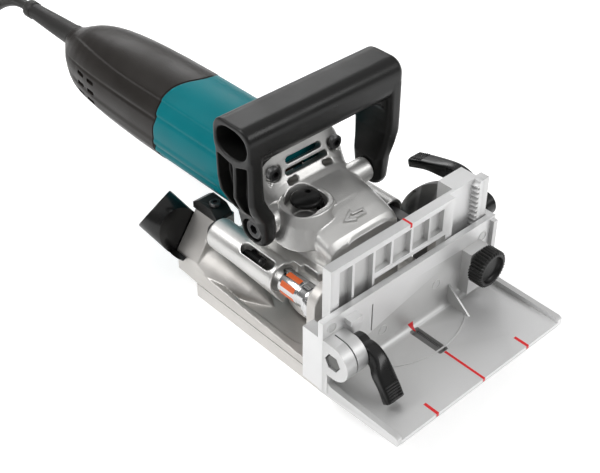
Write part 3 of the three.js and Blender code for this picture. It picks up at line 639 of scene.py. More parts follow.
# ---- gear housing
# the casting's cross sections, as oval_loft takes them
GEAR_ROWS = [
    (36, 0, 56, 24.5, 11.6, 7), (36.8, 0, 56, 26, 13.2, 7), (40, 0, 57, 27, 15.4, 6),
    (47, 0, 58.5, 27.6, 17.4, 5), (56, 0, 60, 28, 19.2, 4.6), (66, 0, 61.5, 28.6, 20.8, 4.2),
    (75, 0, 62.4, 29.6, 22.6, 3.6), (79, 0, 63.4, 30.4, 23.6, 3.4), (82, 0, 64.4, 31, 25.4, 3.2),
    (84, 0, 65.6, 31.6, 27, 3.1), (86, 0, 67.6, 32, 29, 3), (88, 0, 70.2, 32.4, 30.8, 3),
    (90.6, 0, 73.4, 33, 32.6, 3), (92, 0, 75, 33.2, 33.2, 3), (96, 0, 75, 33.2, 33.2, 3),
]
TUBE_R = 9.6
VENT_SLOPE, VENT_HALF, VENT_BEND = 58, 1.9, 0.0044
# (x, half width, y, z) of the four openings in the sloping face below the flange
CASE_VENTS = [
    (0, 13.4, 87, 98.4), (0, 15.8, 84.4, 93.2), (-13.2, 3.8, 82, 88.2), (13.2, 3.8, 82, 88.2),
]


def slanted_slot(x, half_width, y, z):
    """A rounded slot at right angles to the sloping face, bent a little downwards at its ends."""
    slope = radians(VENT_SLOPE)
    outline = rounded(x - half_width, x + half_width, -VENT_HALF, VENT_HALF, 1.8)
    along = Vector((0, cos(slope), sin(slope)))
    inward = Vector((0, sin(slope), -cos(slope)))
    verts = []
    for depth in (-6, 10):
        for u, v in outline:
            verts.append(Vector((u, y, z)) + along * (v - VENT_BEND * u ** 2) + inward * depth)
    return new_object("slot", verts, bands(2, len(outline)))


def gear_case_solids():
    """What is joined to the lofted body: round skirt, tubes, web, bosses and nose."""
    skirt = rod("z", 33, 16.3, 55, (0, SPINDLE_Y), 96, 1.5)
    cut(skirt, block(-40, 40, 0, 36, 0, 90), block(-60, 60, 88, 120, 0, 90))
    disc = rod("z", 27, 50, 57, (-17, 62), 72, 1)
    left = rod("y", TUBE_R, 57, 112, LEFT_TUBE, 72, 0.5)
    right = rod("y", TUBE_R, 57, 108, RIGHT_TUBE, 72, 0.5)
    fin = prism("y", [(-52.6, 49), (-51.8, 45), (-43.4, 31), (-41.8, 31), (-36, 45), (-36, 49)], 57, 92)
    cut(fin, prism("x", [(60, 30), (94, 30), (94, 44)], -60, -30))
    web = block(-SIDE_X, SIDE_X, 59.5, 94, 45, 54.6)
    handle_boss = rod("x", 7.4, -37.6, 37.6, HANDLE_BOLT, 56)
    button_boss = oval_loft("z", [(66, -19, 63, 20, 17, 2.3), (78, -17.6, 64.8, 17, 14.8, 2.3),
                                  (83.6, -17, 65.9, 15, 13.6, 2.3)])
    nose = oval_loft("y", [(35.9, 3, 60, 17, 10, 6), (60, 3, 64, 17.5, 13, 5), (74, 3, 65, 16, 14, 4)])
    return [skirt, disc, left, right, fin, web, handle_boss, button_boss, nose]


def screw_recesses():
    """Room for the corner screws, with a notch beside each, and holes for the handle's bolts."""
    recesses = []
    for side in (-1, 1):
        x, z = side * SCREW_AT[0], SCREW_AT[1]
        notch = [(x - side * 5, z + 2), (x - side * 2, z + 9), (x + side * 5.4, z + 1),
                 (x + side * 3, z - 8)]
        recesses.append(rod("y", 5.6, 60, 87.8, (x, z), 48))
        recesses.append(prism("y", notch, 60, 86.8))
        recesses.append(side_rod(side, 4, 27, 40, HANDLE_BOLT, 32))
    return recesses


def button_recess():
    """The kidney-shaped dish round the spindle lock button, and the hole for its pin."""
    kidney = oval_loft("z", [(78.2, -16.4, 67.4, 11.2, 10.8, 2.4), (83, -16.6, 67.2, 11.8, 11.2, 2.4),
                             (92, -17, 67, 13.6, 12.8, 2.4)])
    lobe = oval_loft("z", [(77, -22.4, 62, 6.6, 6, 2), (92, -23.6, 61, 8.4, 7.6, 2)])
    pin_hole = rod("z", 2.7, 70, 84.4, LOCK_PIN, 24)
    return [kidney, lobe, pin_hole]


def tube_openings():
    """Room for the turret on the left, the window over the stop rod, and the two tubes' bores."""
    turret_room = [rod("y", 8.4, 30, 82, LEFT_TUBE), rod("y", 10.8, 30, 56.9, LEFT_TUBE),
                   block(-60, -32.6, 30, 50.4, 38, 64)]
    rod_bore = rod("y", 4.6, 80, 114, LEFT_TUBE)
    window = prism("z", rounded(-50, -44.4, 60, 86, 2.7), 46, 70)
    bar_bore = rod("y", 7.9, 56, 104, RIGHT_TUBE)
    half = 3.8
    square = block(SIDE_X - half, SIDE_X + half, 100, 110, SIDE_Z - half, SIDE_Z + half)
    return turret_room + [rod_bore, window, bar_bore, square]


def gear_case_insides():
    """Room for the spindle and its gear, and for the pinion and the front end of the motor."""
    return [rod("z", 16, 10, 51, (0, SPINDLE_Y)),
            turned("z", [(15.4, 50), (15.4, 67.6), (7.4, 73), (7.4, 74.4)], (0, SPINDLE_Y)),
            rod("y", 11.3, 83, 92.4, (0, MOTOR_Z)),
            turned("y", [(0, 57), (4.4, 60.5), (7.2, 68), (7.2, 84)], (0, MOTOR_Z)),
            rod("y", 26, 92, 99, (0, MOTOR_Z))]


def make_gear_housing():
    body = oval_loft("y", GEAR_ROWS, 120)
    union(body, *gear_case_solids())
    vents = [slanted_slot(*vent) for vent in CASE_VENTS]
    panel = oval_loft("y", [(30, 3, 75.5, 13, 1.6, 8), (46, 3, 77.5, 14, 1.6, 8), (57, 3, 81, 14, 1.6, 8)])
    cut(body, *screw_recesses(), *button_recess(), *vents, *tube_openings(), *gear_case_insides(), panel)
    melt(body, 0.45, 3, 0.3)
    wear(body, "gear_case", "motor_unit", "housing", "gear_housing", 70)


ARROW_SLOPE, ARROW_Y = 0.27, 45


def make_arrow():
    """A raised outline, sheared upwards so that it lies along the sloping top of the housing."""
    outline = [(-8, 45.4), (0.8, 50.4), (0.2, 47.6), (8.2, 47.2), (7.6, 43.6), (-0.6, 44), (-0.4, 42.6)]
    inner = [(-4.6, 45.5), (-0.6, 47.9), (-0.9, 46.6), (6.6, 46.1), (6.3, 44.7), (-1.6, 45.1)]
    rim = prism("z", outline, 74.2, 76.6)
    cut(rim, prism("z", inner, 70, 90))
    shear = Matrix.Identity(4)
    shear[2][1] = ARROW_SLOPE
    shear[2][3] = -ARROW_SLOPE * (ARROW_Y - SPINDLE_Y) * MM
    rim.data.transform(shear)
    wear(soften(rim, 0.2), "direction_arrow", "motor_unit", "housing")


def make_button():
    cap = turned("z", [(8.4, 81.4), (8.8, 81.8), (8.8, 83.2), (8.3, 84), (7.2, 84.4), (0, 84.5)], BUTTON)
    union(cap, rod("z", 2, 74.2, 82, LOCK_PIN, 24))
    cut(cap, rod("z", 1.6, 83, 86, (BUTTON[0] + 4, BUTTON[1] + 2.6), 24))
    wear(soften(cap, 0.25), "lock_button_cap", "lock_button", "gloss", "shaft_lock_button")


def socket_head(axis, radius, low, high, at, towards):
    """A socket-head screw: a chamfered head with a six-sided recess."""
    head = rod(axis, radius, low, high, at, 48, 0.7)
    middle = (low + high) / 2
    recess_low, recess_high = (low - 1, middle) if towards < 0 else (middle, high + 1)
    return cut(head, rod(axis, radius * 0.48, recess_low, recess_high, at, 6))


BOLT_HEAD_NEAR, BOLT_HEAD_FAR = 41.6, 47.8


def make_screws():
    for side, word in ((-1, "left"), (1, "right")):
        head = socket_head("y", 4.3, 84, 87.9, (side * SCREW_AT[0], SCREW_AT[1]), -1)
        wear(head, f"corner_screw_{word}", "motor_unit", "dark_steel", f"housing_screw_{word}")
        low, high = sorted((side * BOLT_HEAD_NEAR, side * BOLT_HEAD_FAR))
        shank = side_rod(side, 3.6, 28, 42, HANDLE_BOLT, 24)
        bolt = union(socket_head("x", 6.2, low, high, HANDLE_BOLT, side), shank)
        wear(bolt, f"grip_bolt_{word}", "motor_unit", "dark_steel", f"handle_bolt_{word}")


make_gear_housing()
make_arrow()
make_button()
make_screws()


# ---- depth stop: rod and turret
THREAD_TURNS, THREAD_PITCH = 34, 1.1
THREAD_R, THREAD_CORE = 3.1, 2.6
TURRET_R = 7.2
TURRET_PROFILE = [
    (8.6, 27), (9.7, 27.4), (10, 28), (10, 30), (9.6, 30.5), (8.6, 30.8), (8.8, 31.3), (8.8, 33),
    (7.1, 33.6), (TURRET_R, 38), (6.7, 38.4), (6.7, 39.2), (TURRET_R, 39.6), (TURRET_R, 55.8), (6.8, 56.4),
]
NOTCHES = 6
MARK_ANGLES, MARK_SPAN = (84, 136, 188, 240), 26


def make_depth_rod():
    profile = [(2.2, 73.3), (THREAD_R, 74.2)]
    for i in range(THREAD_TURNS):
        y = 75 + i * THREAD_PITCH
        profile += [(THREAD_R, y), (THREAD_CORE, y + THREAD_PITCH / 2)]
    profile += [(THREAD_R, 112.4), (4.9, 112.6), (5.2, 113.2), (5.2, 116.4), (4.7, 117)]
    body = turned("y", profile, LEFT_TUBE, 40)
    wear(body, "threaded_stop_rod", "motor_unit", "dark_steel", "depth_rod", 50)


def make_turret():
    """A stepped drum with click notches round its front flange and painted marks round its side."""
    body = turned("y", TURRET_PROFILE, LEFT_TUBE, 72)
    rod_seat = rod("y", 3.8, 50, 60, LEFT_TUBE, 32)
    pin_bore = rod("y", 2.3, 26, 48.5, LEFT_TUBE, 24)
    lower_step = block(-SIDE_X - 10, -SIDE_X, 53.4, 58, SIDE_Z - 10, SIDE_Z + 10)
    cut(body, rod_seat, pin_bore, lower_step)
    for k in range(NOTCHES):
        turn = 360 / NOTCHES * k + 15
        cut(body, rod("y", 1.6, 26, 30.7, arc(LEFT_TUBE, 10.8, turn, turn, 1)[0], 20))
    wear(soften(body, 0.15), "stepped_turret", "turret", "chrome", "depth_turret", 35)
    for i, angle in enumerate(MARK_ANGLES):
        outside = arc(LEFT_TUBE, TURRET_R + 0.12, angle, angle + MARK_SPAN, 8)
        inside = arc(LEFT_TUBE, TURRET_R - 0.2, angle + MARK_SPAN, angle, 8)
        patch = prism("y", outside + inside, 41, 51.6)
        wear(patch, f"turret_mark_{i}", "turret", "orange")


make_depth_rod()
make_turret()


# ---- D-handle
# (z, near and far from the middle, front, rear, corner radius) of a leg's cross sections
LEG_ROWS = [
    (65.8, 40, 47.6, 68.6, 81, 4), (67, 38.6, 48.4, 67, 83, 4), (70, 37.8, 49, 65.7, 85, 4.2),
    (84, 38.5, 50.2, 65.2, 87.5, 4), (91, 42.4, 54, 65.4, 90.6, 3.6), (98, 45.6, 56.5, 65.6, 93.6, 3.2),
    (106, 46.4, 56.6, 65.6, 95, 3), (130, 46.6, 56.6, 65.7, 95.4, 3),
]
MOUTH_AT = (80.6, 132)
GUSSET_X, GUSSET_Z, GUSSET_R = 38, 111, 8.6
# (y, z) outlines of the two pockets in the left leg's outer face
FRONT_POCKET = [
    (68.4, 121.5), (68.4, 106), (68.8, 97), (70.6, 88), (77.4, 88), (78.6, 97), (78, 106), (77.6, 118.2),
]
REAR_POCKET = [
    (80.2, 118.5), (80.4, 106), (80.8, 97), (80, 88), (84.4, 88), (89.4, 97), (92.2, 106), (92.6, 121.2),
]


def handle_leg(side):
    """One leg of the handle, from its foot up into the grip."""
    sections = []
    for z, near, far, front, rear, r in LEG_ROWS:
        x0, x1 = sorted((side * near, side * far))
        sections.append((z, rounded(x0, x1, front, rear, r)))
    return loft("z", sections)


def handle_gusset(side):
    """Fills the inner corner between leg and grip with a hollow curve."""
    curve = arc((side * GUSSET_X, GUSSET_Z), GUSSET_R, 90, 0 if side > 0 else 180, 8)
    outline = [(side * 47, 122), (side * GUSSET_X, 122)] + curve + [(side * 47, GUSSET_Z)]
    return prism("y", outline, 70, 91)


def make_handle():
    grip = loft("x", [(-56.6, rounded(66.6, 94.6, 120.6, 142.8, 8, 10)),
                      (-55.8, rounded(65.8, 95.4, 119.7, 143.6, 8, 10)),
                      (54, rounded(65.8, 95.4, 119.6, 143.7, 8.6, 10)),
                      (56.2, rounded(67, 94, 121, 142.4, 8, 10))])
    body = union(grip, handle_leg(-1), handle_leg(1), handle_gusset(-1), handle_gusset(1))
    mouth_rows = ((-58, 12.6, 9), (-55.6, 12.2, 8.6), (-30, 11, 7.4))
    mouth = oval_loft("x", [(x, *MOUTH_AT, deep, tall, 2.3) for x, deep, tall in mouth_rows])
    cut(body, mouth, prism("x", FRONT_POCKET, -58.5, -48.5), prism("x", REAR_POCKET, -58.5, -48.5))
    for side in (-1, 1):
        cut(body, side_rod(side, 4, 30, 60, HANDLE_BOLT, 32), side_rod(side, 7.2, 41.4, 60, HANDLE_BOLT))
    melt(body, 0.55)
    wear(body, "d_grip", "motor_unit", "black", "d_handle", 60)


make_handle()


# ---- base
BASE_HALF, BASE_LOW, BASE_REAR = 54, 10, 132
TOWER_FRONT, TOWER_REAR = 121, 140
CONE_START, CONE_DRIFT = 72, -0.02
# (radius, y) of the dust channel, a half cone that rises to the tower
CONE_ROWS = [(0.5, CONE_START), (4, 78), (8, 86), (12.6, 100), (16, 112), (18.4, 121.5)]


def base_floor():
    """The sole, a wedge that is thicker at the rear, with a wide shallow dish in its top."""
    side = [(0.3, BASE_LOW), (BASE_REAR, BASE_LOW), (BASE_REAR, 21.6), (120, 20.8), (74, 17.8),
            (33, 15.4), (24, 15), (0.3, 15)]
    sole = prism("x", side, -BASE_HALF, BASE_HALF)
    dish = [(14.5, rounded(-48.5, 48.5, 33, 118, 12)), (22, rounded(-52, 52, 27, 121.5, 12))]
    return cut(sole, loft("z", dish))


def base_uprights():
    """On the left a round-topped plate with a brace for the turret, on the right a post for the stud."""
    left_top = arc((-43.7, 56), 10.3, 0, 180, 20)
    left = prism("y", [(-BASE_HALF, 11), (-33.4, 11)] + left_top, 19.8, 26.5)
    brace = prism("y", [(-54, 14), (-36, 14), (-33.6, 24), (-33.6, 40), (-54, 40)], 22, 26.5)
    stud_top = arc((16.8, 66.2), 5.2, 0, 90, 8) + arc((16.4, 66.2), 5.2, 90, 180, 8)
    right = prism("x", [(11.2, 15), (22, 15)] + stud_top, 36, BASE_HALF)
    return [left, brace, right]


def base_rear():
    """The tower that carries the dust nozzle, the half cone that leads to it, and the rib beside it."""
    outline = [(-BASE_HALF, 11), (-24, 11), (-24, 49), (-38, 49), (-BASE_HALF, 26)]
    tower = prism("y", outline, TOWER_FRONT, TOWER_REAR)
    cone = loft("y", [(y, ring_points((-37.5 + (y - CONE_START) * CONE_DRIFT, 14.5), r))
                      for r, y in CONE_ROWS])
    cut(cone, block(-90, 0, 60, 130, -10, 12), block(-90, -53.6, 60, 130, -10, 60))
    rib = prism("x", [(122, 14), (BASE_REAR, 14), (BASE_REAR, 26), (128, 26)], -24.5, BASE_HALF)
    return [tower, cone, rib]


def make_base():
    body = union(base_floor(), *base_uprights(), *base_rear())
    blade_room = block(-53, 53, -1, 107, 9, 13.2)
    spindle_slot = prism("z", rounded(-17, 17, 12.5, 71, 16.5), 9, 17)
    pin_hole = rod("y", 2.3, 15, 30, LEFT_TUBE, 24)
    stud_hole = rod("x", 2.8, 34, 60, TILT_STUD, 24)
    bracket_hole = rod("z", 3, 44, 60, (-44, 130), 24)
    tower_dimple = rod("y", 6, 110, TOWER_FRONT + 0.8, (-42, 43), 32)
    side_notch = block(-60, -52.6, 17.6, 19.4, 10.5, 15.4)
    rear_step = block(-54.5, 54.5, 128, 134, 8, 10.6)
    cut(body, blade_room, spindle_slot, pin_hole, stud_hole, bracket_hole, tower_dimple, side_notch,
        rear_step)
    melt(body, 0.55, 4, 0.3)
    wear(body, "base_body", "base", "cast", "base_casting", 70)


NOZZLE_ROOT = Vector((-44.7, 127.7, 27.2))
NOZZLE_AXIS = Vector((-0.315, 0.748, 0.585)).normalized()
NOZZLE_R = 14
BRACKET_SCREW = (-34, 126)


def nozzle_part(profile):
    """A turned piece whose axis is the spout's, measured from the spout's root."""
    part = turned("z", profile, (0, SPINDLE_Y))
    turn = Vector((0, 0, 1)).rotation_difference(NOZZLE_AXIS).to_matrix().to_4x4()
    part.data.transform(Matrix.Translation(place(*NOZZLE_ROOT)) @ turn)
    return part


def make_nozzle():
    """The spout leaves the rear of the tower, and its near corner laps round the tower's side."""
    body = nozzle_part([(12.5, 4), (13.6, 8), (NOZZLE_R, 14), (NOZZLE_R, 37.4), (13.6, 38)])
    bore = nozzle_part([(2, 24), (11.6, 30), (11.8, 34), (12.8, 39)])
    behind_tower = TOWER_REAR + 0.4
    cut(body, bore, block(-54.8, 0, 60, behind_tower, 0, 90), block(-90, 0, 60, behind_tower, 26, 90))
    wear(soften(body, 0.3), "dust_spout", "base", "gloss", "dust_nozzle", 40)


def make_bracket():
    outline = [(119.5, 49.3), (141, 49.3), (141, 53.5), (136, 56.8), (124, 56.2), (119.5, 52)]
    plate = prism("x", outline, -39, -27)
    cut(plate, rod("z", 2.3, 40, 70, BRACKET_SCREW, 24))
    wear(soften(plate, 1, 3), "spout_bracket", "base", "black", "nozzle_bracket")
    screw = union(rod("z", 3.4, 56.7, 59, BRACKET_SCREW, 40, 0.5), rod("z", 2, 50, 57, BRACKET_SCREW, 24))
    cut(screw, rod("z", 1.6, 57.8, 61, BRACKET_SCREW, 6))
    wear(screw, "bracket_bolt", "base", "dark_steel", "bracket_screw")


def make_cover():
    """The tray below the blade, hinged at its rear end between two cut corners."""
    tray = prism("z", rounded(-BASE_HALF, BASE_HALF, 4, 129.4, 3), 0, 9.7)
    inside = block(-51.8, 51.8, 3, 119, 2.4, 11)
    right_corner = block(37.7, 56, 122.5, 131, -1, 11)
    left_corner = block(-56, -37.7, 122.5, 131, -1, 11)
    hinge_bore = rod("x", 2.3, -50, 50, (128, 5), 24)
    screw_hole = rod("z", 2.5, -1, 20, (0, 12), 24)
    cut(tray, inside, right_corner, left_corner, hinge_bore, screw_hole)
    wear(soften(tray, 0.8, 3), "cover_tray", "cover", "cast", "blade_cover")


make_base()
make_nozzle()
make_bracket()
make_cover()


# ---- angle guide and quadrant
GUIDE_LEFT, GUIDE_RIGHT = -57.8, 62.6
GUIDE_FRONT, GUIDE_REAR = 4.3, 10.4
GUIDE_LOW, GUIDE_HIGH = 24, 94
HINGE_HOLE_R = 1.7
RIB_PLACES, RIB_HALF = (-52.6, -41.9, -27, -13.7, 1.2, 15.3, 27), 0.9
POCKET_LOWS = (30, 30, 75.4, 74.6, 75.4, 75.4)
TEETH, TOOTH_PITCH, FIRST_TOOTH = 21, 3.2, 27


def make_angle_guide():
    """A plate with a window, ribbed pockets in its front and a channel for the rack on the right."""
    body = block(GUIDE_LEFT, 34.3, GUIDE_FRONT, GUIDE_REAR, GUIDE_LOW, GUIDE_HIGH)
    channel_floor = block(33, GUIDE_RIGHT, 8.6, GUIDE_REAR, GUIDE_LOW, GUIDE_HIGH)
    channel_side = block(57.6, GUIDE_RIGHT, GUIDE_FRONT, GUIDE_REAR, GUIDE_LOW, GUIDE_HIGH)
    shelf = block(39, 58.3, 9.4, 21, 76, GUIDE_HIGH)
    ear = arc(HINGE, 2.8, 180, 360, 12)
    ear += [(GUIDE_REAR, 21), (GUIDE_REAR, 32), (GUIDE_FRONT, 32), (GUIDE_FRONT, 20.7)]
    union(body, channel_floor, channel_side, shelf, prism("x", ear, GUIDE_LEFT, -54.3))
    cut(body, rod("x", HINGE_HOLE_R, -62, -50, HINGE, 24), block(-26, 29, 0, 20, 20, 71.5))
    for left, right, low in zip(RIB_PLACES, RIB_PLACES[1:], POCKET_LOWS):
        cut(body, block(left + RIB_HALF, right - RIB_HALF, 3, 7.6, low, 90.4))
    wear(soften(body, 0.45), "guide_plate", "guide", "milled", "angle_guide", flat=True)
    mark = union(block(-0.7, 0.7, 4.18, 10.5, 93.6, 94.1), block(-0.7, 0.7, 4.18, 5, 91.6, 94.1))
    wear(mark, "guide_centre_mark", "guide", "red")


def make_rack():
    rack = block(55, 58, GUIDE_FRONT, 8.9, GUIDE_LOW, GUIDE_HIGH)
    for i in range(TEETH):
        z = FIRST_TOOTH + i * TOOTH_PITCH
        tooth = [(55.5, z - 1.2), (55.5, z + 1.2), (53, z + 0.5), (53, z - 0.5)]
        union(rack, prism("y", tooth, GUIDE_FRONT, 8.9))
    wear(soften(rack, 0.12, 1), "guide_rack", "guide", "milled")


SLOT_HALF = 2.9


def make_quadrant():
    """A rounded plate with an arc slot in which the stud runs as the guide tilts through 90 degrees."""
    top = [(10.7, 80), (10.7, 20.7), (-0.2, 20.7)]
    bottom = [(-0.2, 15.2), (6, 1.2), (53, 1.2)]
    disc = prism("x", bottom + arc((11.4, 31.9), 51, -32, 93, 64) + top, 54.3, 58.3)
    forward, up = TILT_STUD[0] - HINGE[0], TILT_STUD[1] - HINGE[1]
    slot_r = hypot(forward, up)
    high = degrees(atan2(up, forward))
    low = high - 90
    slot = arc(HINGE, slot_r + SLOT_HALF, low, high, 48) + arc(HINGE, slot_r - SLOT_HALF, high, low, 48)
    cut(disc, prism("x", slot, 50, 62), rod("x", HINGE_HOLE_R, 50, 62, HINGE, 24),
        block(50, 62, 0, 30, 75.7, 100))
    for end in (high, low):
        cut(disc, rod("x", SLOT_HALF, 50, 62, arc(HINGE, slot_r, end, end, 1)[0], 32))
    cut(disc, rod("x", 0.7, 50, 62, arc(HINGE, 66, 44, 44, 1)[0], 16))
    wear(soften(disc, 0.3), "tilt_plate", "guide", "quadrant", "tilt_quadrant")


make_angle_guide()
make_rack()
make_quadrant()


# ---- fence
PLATE_TOP, PLATE_LOW, PLATE_FRONT = 24, 21, -53.7
WALL_HALF, WALL_REAR, WALL_TOP = 67, 3.6, 68
FILLET = (-5, 29)


def fence_solids():
    """The wall, what stands at its ends, the clamp's ear, the knob's boss, the inner fillet and a rib."""
    wall = block(-WALL_HALF, WALL_HALF, 0, WALL_REAR, PLATE_LOW, WALL_TOP)
    flange = [(PLATE_FRONT, 21.4), (-10, 19), (0, 18.5), (WALL_REAR, 18.5), (WALL_REAR, 30), (-2, 30),
              (-6, 27.4), (PLATE_FRONT + 2, 27), (PLATE_FRONT, 26)]
    left_cheek = [(-3.5, 21), (15, 21), (15, 57), (0, 57), (0, 40), (-3.5, 34)]
    right_cheek = block(62.9, WALL_HALF, 0, 8.5, PLATE_LOW, WALL_TOP)
    right_rim = block(63, 66.4, -2.4, 1, 28, 66)
    ear = [(WALL_REAR, 35.2)] + arc(EAR, 11, 270, 90, 24) + [(WALL_REAR, 57.2)]
    knob_boss = block(40, 54.6, -6.6, 1, 28.6, 57.2)
    fillet = [(1, 21.5), (1, FILLET[1])] + arc(FILLET, 5, 0, -90, 8) + [(FILLET[0], 21.5)]
    rib = [(0.5, 38), (0.5, 22), (-16.7, 22), (-16.7, 24.2)]
    ledge = block(-51.8, -43.6, -5, 1, 60, 63.4)
    return [wall, prism("x", flange, -66.5, -63), prism("x", flange, 63, 66.5),
            prism("x", left_cheek, -66.9, -59.4), right_cheek, right_rim, prism("x", ear, -66.9, -52),
            knob_boss, prism("x", fillet, -64, 64), prism("x", rib, 30.4, 31.6), ledge]


def make_fence():
    plate = block(-63.4, 63.4, PLATE_FRONT, 1, PLATE_LOW, PLATE_TOP)
    body = union(plate, *fence_solids())
    guide_room = block(-58.1, 62.9, WALL_REAR, 20, 10, 90)
    sight_slot = prism("z", rounded(-3.4, 3.4, -25.8, -2.9, 1), 10, 32)
    knob_hole = rod("y", 3.4, -10, 10, KNOB, 32)
    ear_gap = block(-60, -59.2, -20, -1, 30, 60)
    bolt_hole = rod("x", 3.3, -70, -50, EAR, 32)
    bolt_recess = rod("x", 5.5, -70, -63.5, EAR, 6)
    wall_groove = block(-31.6, -30.7, -1, 1.2, 41, 60)
    cut(body, guide_room, sight_slot, knob_hole, ear_gap, bolt_hole, bolt_recess, wall_groove)
    wear(soften(body, 0.45), "fence_plate", "fence_unit", "milled", "fence", flat=True)


def make_mark(name, x, rear, half):
    """A red line on the plate, from its front edge back, that laps a little way down the edge."""
    high = PLATE_TOP + 0.12
    stripe = block(x - half, x + half, PLATE_FRONT, rear, PLATE_TOP - 0.5, high)
    lip = block(x - half, x + half, PLATE_FRONT - 0.15, PLATE_FRONT + 0.8, PLATE_TOP - 2, high)
    wear(union(stripe, lip), name, "fence_unit", "red")


def make_pointer():
    """A red wedge that climbs the fillet behind the sight slot and widens on its way up."""
    verts = []
    steps = 8
    for i in range(steps + 1):
        turn = -84 + 66 * i / steps
        half = 0.15 + 1.9 * i / steps
        for x, r in ((-half, 4.86), (half, 4.86), (half, 5.3), (-half, 5.3)):
            verts.append((x, *arc(FILLET, r, turn, turn, 1)[0]))
    pointer = new_object("pointer", verts, bands(steps + 1, 4))
    wear(pointer, "mark_pointer", "fence_unit", "red")


def make_slot_shade_sheet():
    """A dark sheet of painted shade that closes the slot from below, where the floor would show through."""
    shade_sheet = prism("z", rounded(-5, 5, -27.4, -1.4, 1.2), PLATE_LOW - 0.9, PLATE_LOW - 0.05)
    window = prism("z", rounded(-3.3, 3.3, -25.7, -3, 0.9), PLATE_LOW - 0.3, PLATE_LOW + 0.7)
    lens = prism("z", rounded(-2.2, 2.2, -20, -4, 0.6), PLATE_LOW + 0.35, PLATE_LOW + 0.9)
    cut(window, lens)
    union(shade_sheet, window)
    # painted shade: the dark grey plate finish stands in for the shadow under the plate
    wear(soften(shade_sheet, 0.15), "slot_shade_sheet", "fence_unit", "quadrant")


def make_fence_relief():
    """A raised curved line across the plate, and the round marks of the ejector pins on the wall."""
    centre = (0, 31.7)
    outline = arc(centre, 55.6, -126, -54, 48) + arc(centre, 54.6, -54, -126, 48)
    line = prism("z", outline, PLATE_TOP - 0.5, PLATE_TOP + 0.45)
    wear(soften(line, 0.3), "plate_relief", "fence_unit", "milled")
    for i, (x, z) in enumerate(((-22, 36), (20, 44), (57, 58), (-60.6, 62))):
        ring = cut(rod("y", 3.2, -0.25, 0.5, (x, z), 40), rod("y", 2.7, -1, -0.02, (x, z), 40))
        wear(ring, f"ejector_mark_{i}", "fence_unit", "milled")


def make_clamp_bolt():
    bolt = union(turned("x", [(4.9, -66.2), (4.9, -63.9)], EAR, 6), rod("x", 3, -64, -44, EAR, 32))
    wear(soften(bolt, 0.3), "ear_bolt", "fence_unit", "shadowed", "fence_clamp_bolt")


KNOB_R, FLUTES, FLUTE_DEPTH = 11.1, 34, 0.4


def knob_outline(share=1.0):
    """The fluted outline, or with a share below 1 the same outline drawn smaller."""
    x, z = KNOB
    count = FLUTES * 6
    outline = []
    for i in range(count):
        turn = 2 * pi * i / count
        r = share * (KNOB_R + FLUTE_DEPTH * tanh(3 * sin(turn * FLUTES)))
        outline.append((x + r * cos(turn), z + r * sin(turn)))
    return outline


def make_knob():
    body = loft("y", [(-16.6, knob_outline(0.9)), (-15.6, knob_outline()), (-8, knob_outline())])
    dish = turned("y", [(8.8, -18), (8.2, -15), (7.4, -14.2)], KNOB, 64)
    cut(body, dish, rod("y", 3.3, -11.6, -7, KNOB, 24))
    wear(soften(body, 0.25, 2, 40), "rack_knob", "knob", "black", "height_knob", 35)


make_fence()
make_mark("mark_centre", 0, -26.1, 0.75)
make_mark("mark_left", -36.5, -44.6, 0.9)
make_mark("mark_right", 36.5, -44.6, 0.9)
make_pointer()
make_slot_shade_sheet()
make_fence_relief()
make_clamp_bolt()
make_knob()


# ---- clamp levers
FINGER_RIBS, RIB_PITCH = 6, 1.5


def upper_normal(along):
    """The direction at right angles to a path in the (y, z) plane, on the path's upper side."""
    normal = Vector((0, -along.z, along.y)).normalized()
    return -normal if normal.z < 0 else normal


def lever_band(path, x0, x1, wide, tip_wide):
    """One side of the band lies at x1. The other is at x0 by the hub and then steps out past x0, by a
    reach that would be wide at the hub and is tip_wide at the tip."""
    sides = 36
    last = len(path) - 1
    verts = []
    for i, p in enumerate(path):
        normal = upper_normal(path[min(i + 1, last)] - path[max(i - 1, 0)])
        share = i / last
        past_hub = step(share - 0.53, 0.07)
        left = x0 - past_hub * (wide + (tip_wide - wide) * share)
        centre, half = (left + x1) / 2, (x1 - left) / 2
        thick = 3.1 + 1.9 * sin(pi * min(1, share * 1.25)) ** 2
        for u, v in oval(0, 0, half, thick, 4.5, sides):
            verts.append(Vector((centre + u, p.y, p.z)) + normal * v)
    return new_object("band", verts, bands(last + 1, sides))


def make_lever(name, body, replaces, at, x0, x1, hub, bore, wide, tip_wide, spine):
    """A moulded lever: a round hub and a curved band that widens to a ribbed finger pad."""
    path = smooth_path([(x0, *p) for p in spine], 6)
    lever = union(lever_band(path, x0, x1, wide, tip_wide), rod("x", hub, x0, x1, at, 56, 0.8))
    tip = path[-1]
    along = (tip - path[-6]).normalized()
    for k in range(FINGER_RIBS):
        foot = tip - along * (1.2 + RIB_PITCH * k) + upper_normal(along) * 3.05
        union(lever, rod("x", 0.5, x0 - tip_wide + 1.6, x1 - 1.6, (foot.y, foot.z), 12))
    cut(lever, rod("x", bore, x0 - 1, x1 + 1, at, 32))
    wear(soften(lever, 0.3, 2, 45), name, body, "gloss", replaces, 40)


make_lever("fence_clamp_lever", "fence_lever_unit", "fence_lever", EAR, -51.6, -43.4, hub=6.8, bore=3.3,
           wide=2.4, tip_wide=3.9,
           spine=[EAR, (-13, 48.4), (-19, 46.2), (-25, 41.6), (-30.6, 35.2), (-34.6, 28.9)])
make_lever("tilt_clamp_lever", "tilt_lever_unit", "tilt_lever", TILT_STUD, 67.8, 76.8, hub=7.4, bore=2.8,
           wide=0.4, tip_wide=2.6,
           spine=[TILT_STUD, (22, 72.5), (32, 75.8), (44, 75.4), (55, 73.6), (65.6, 70.2)])


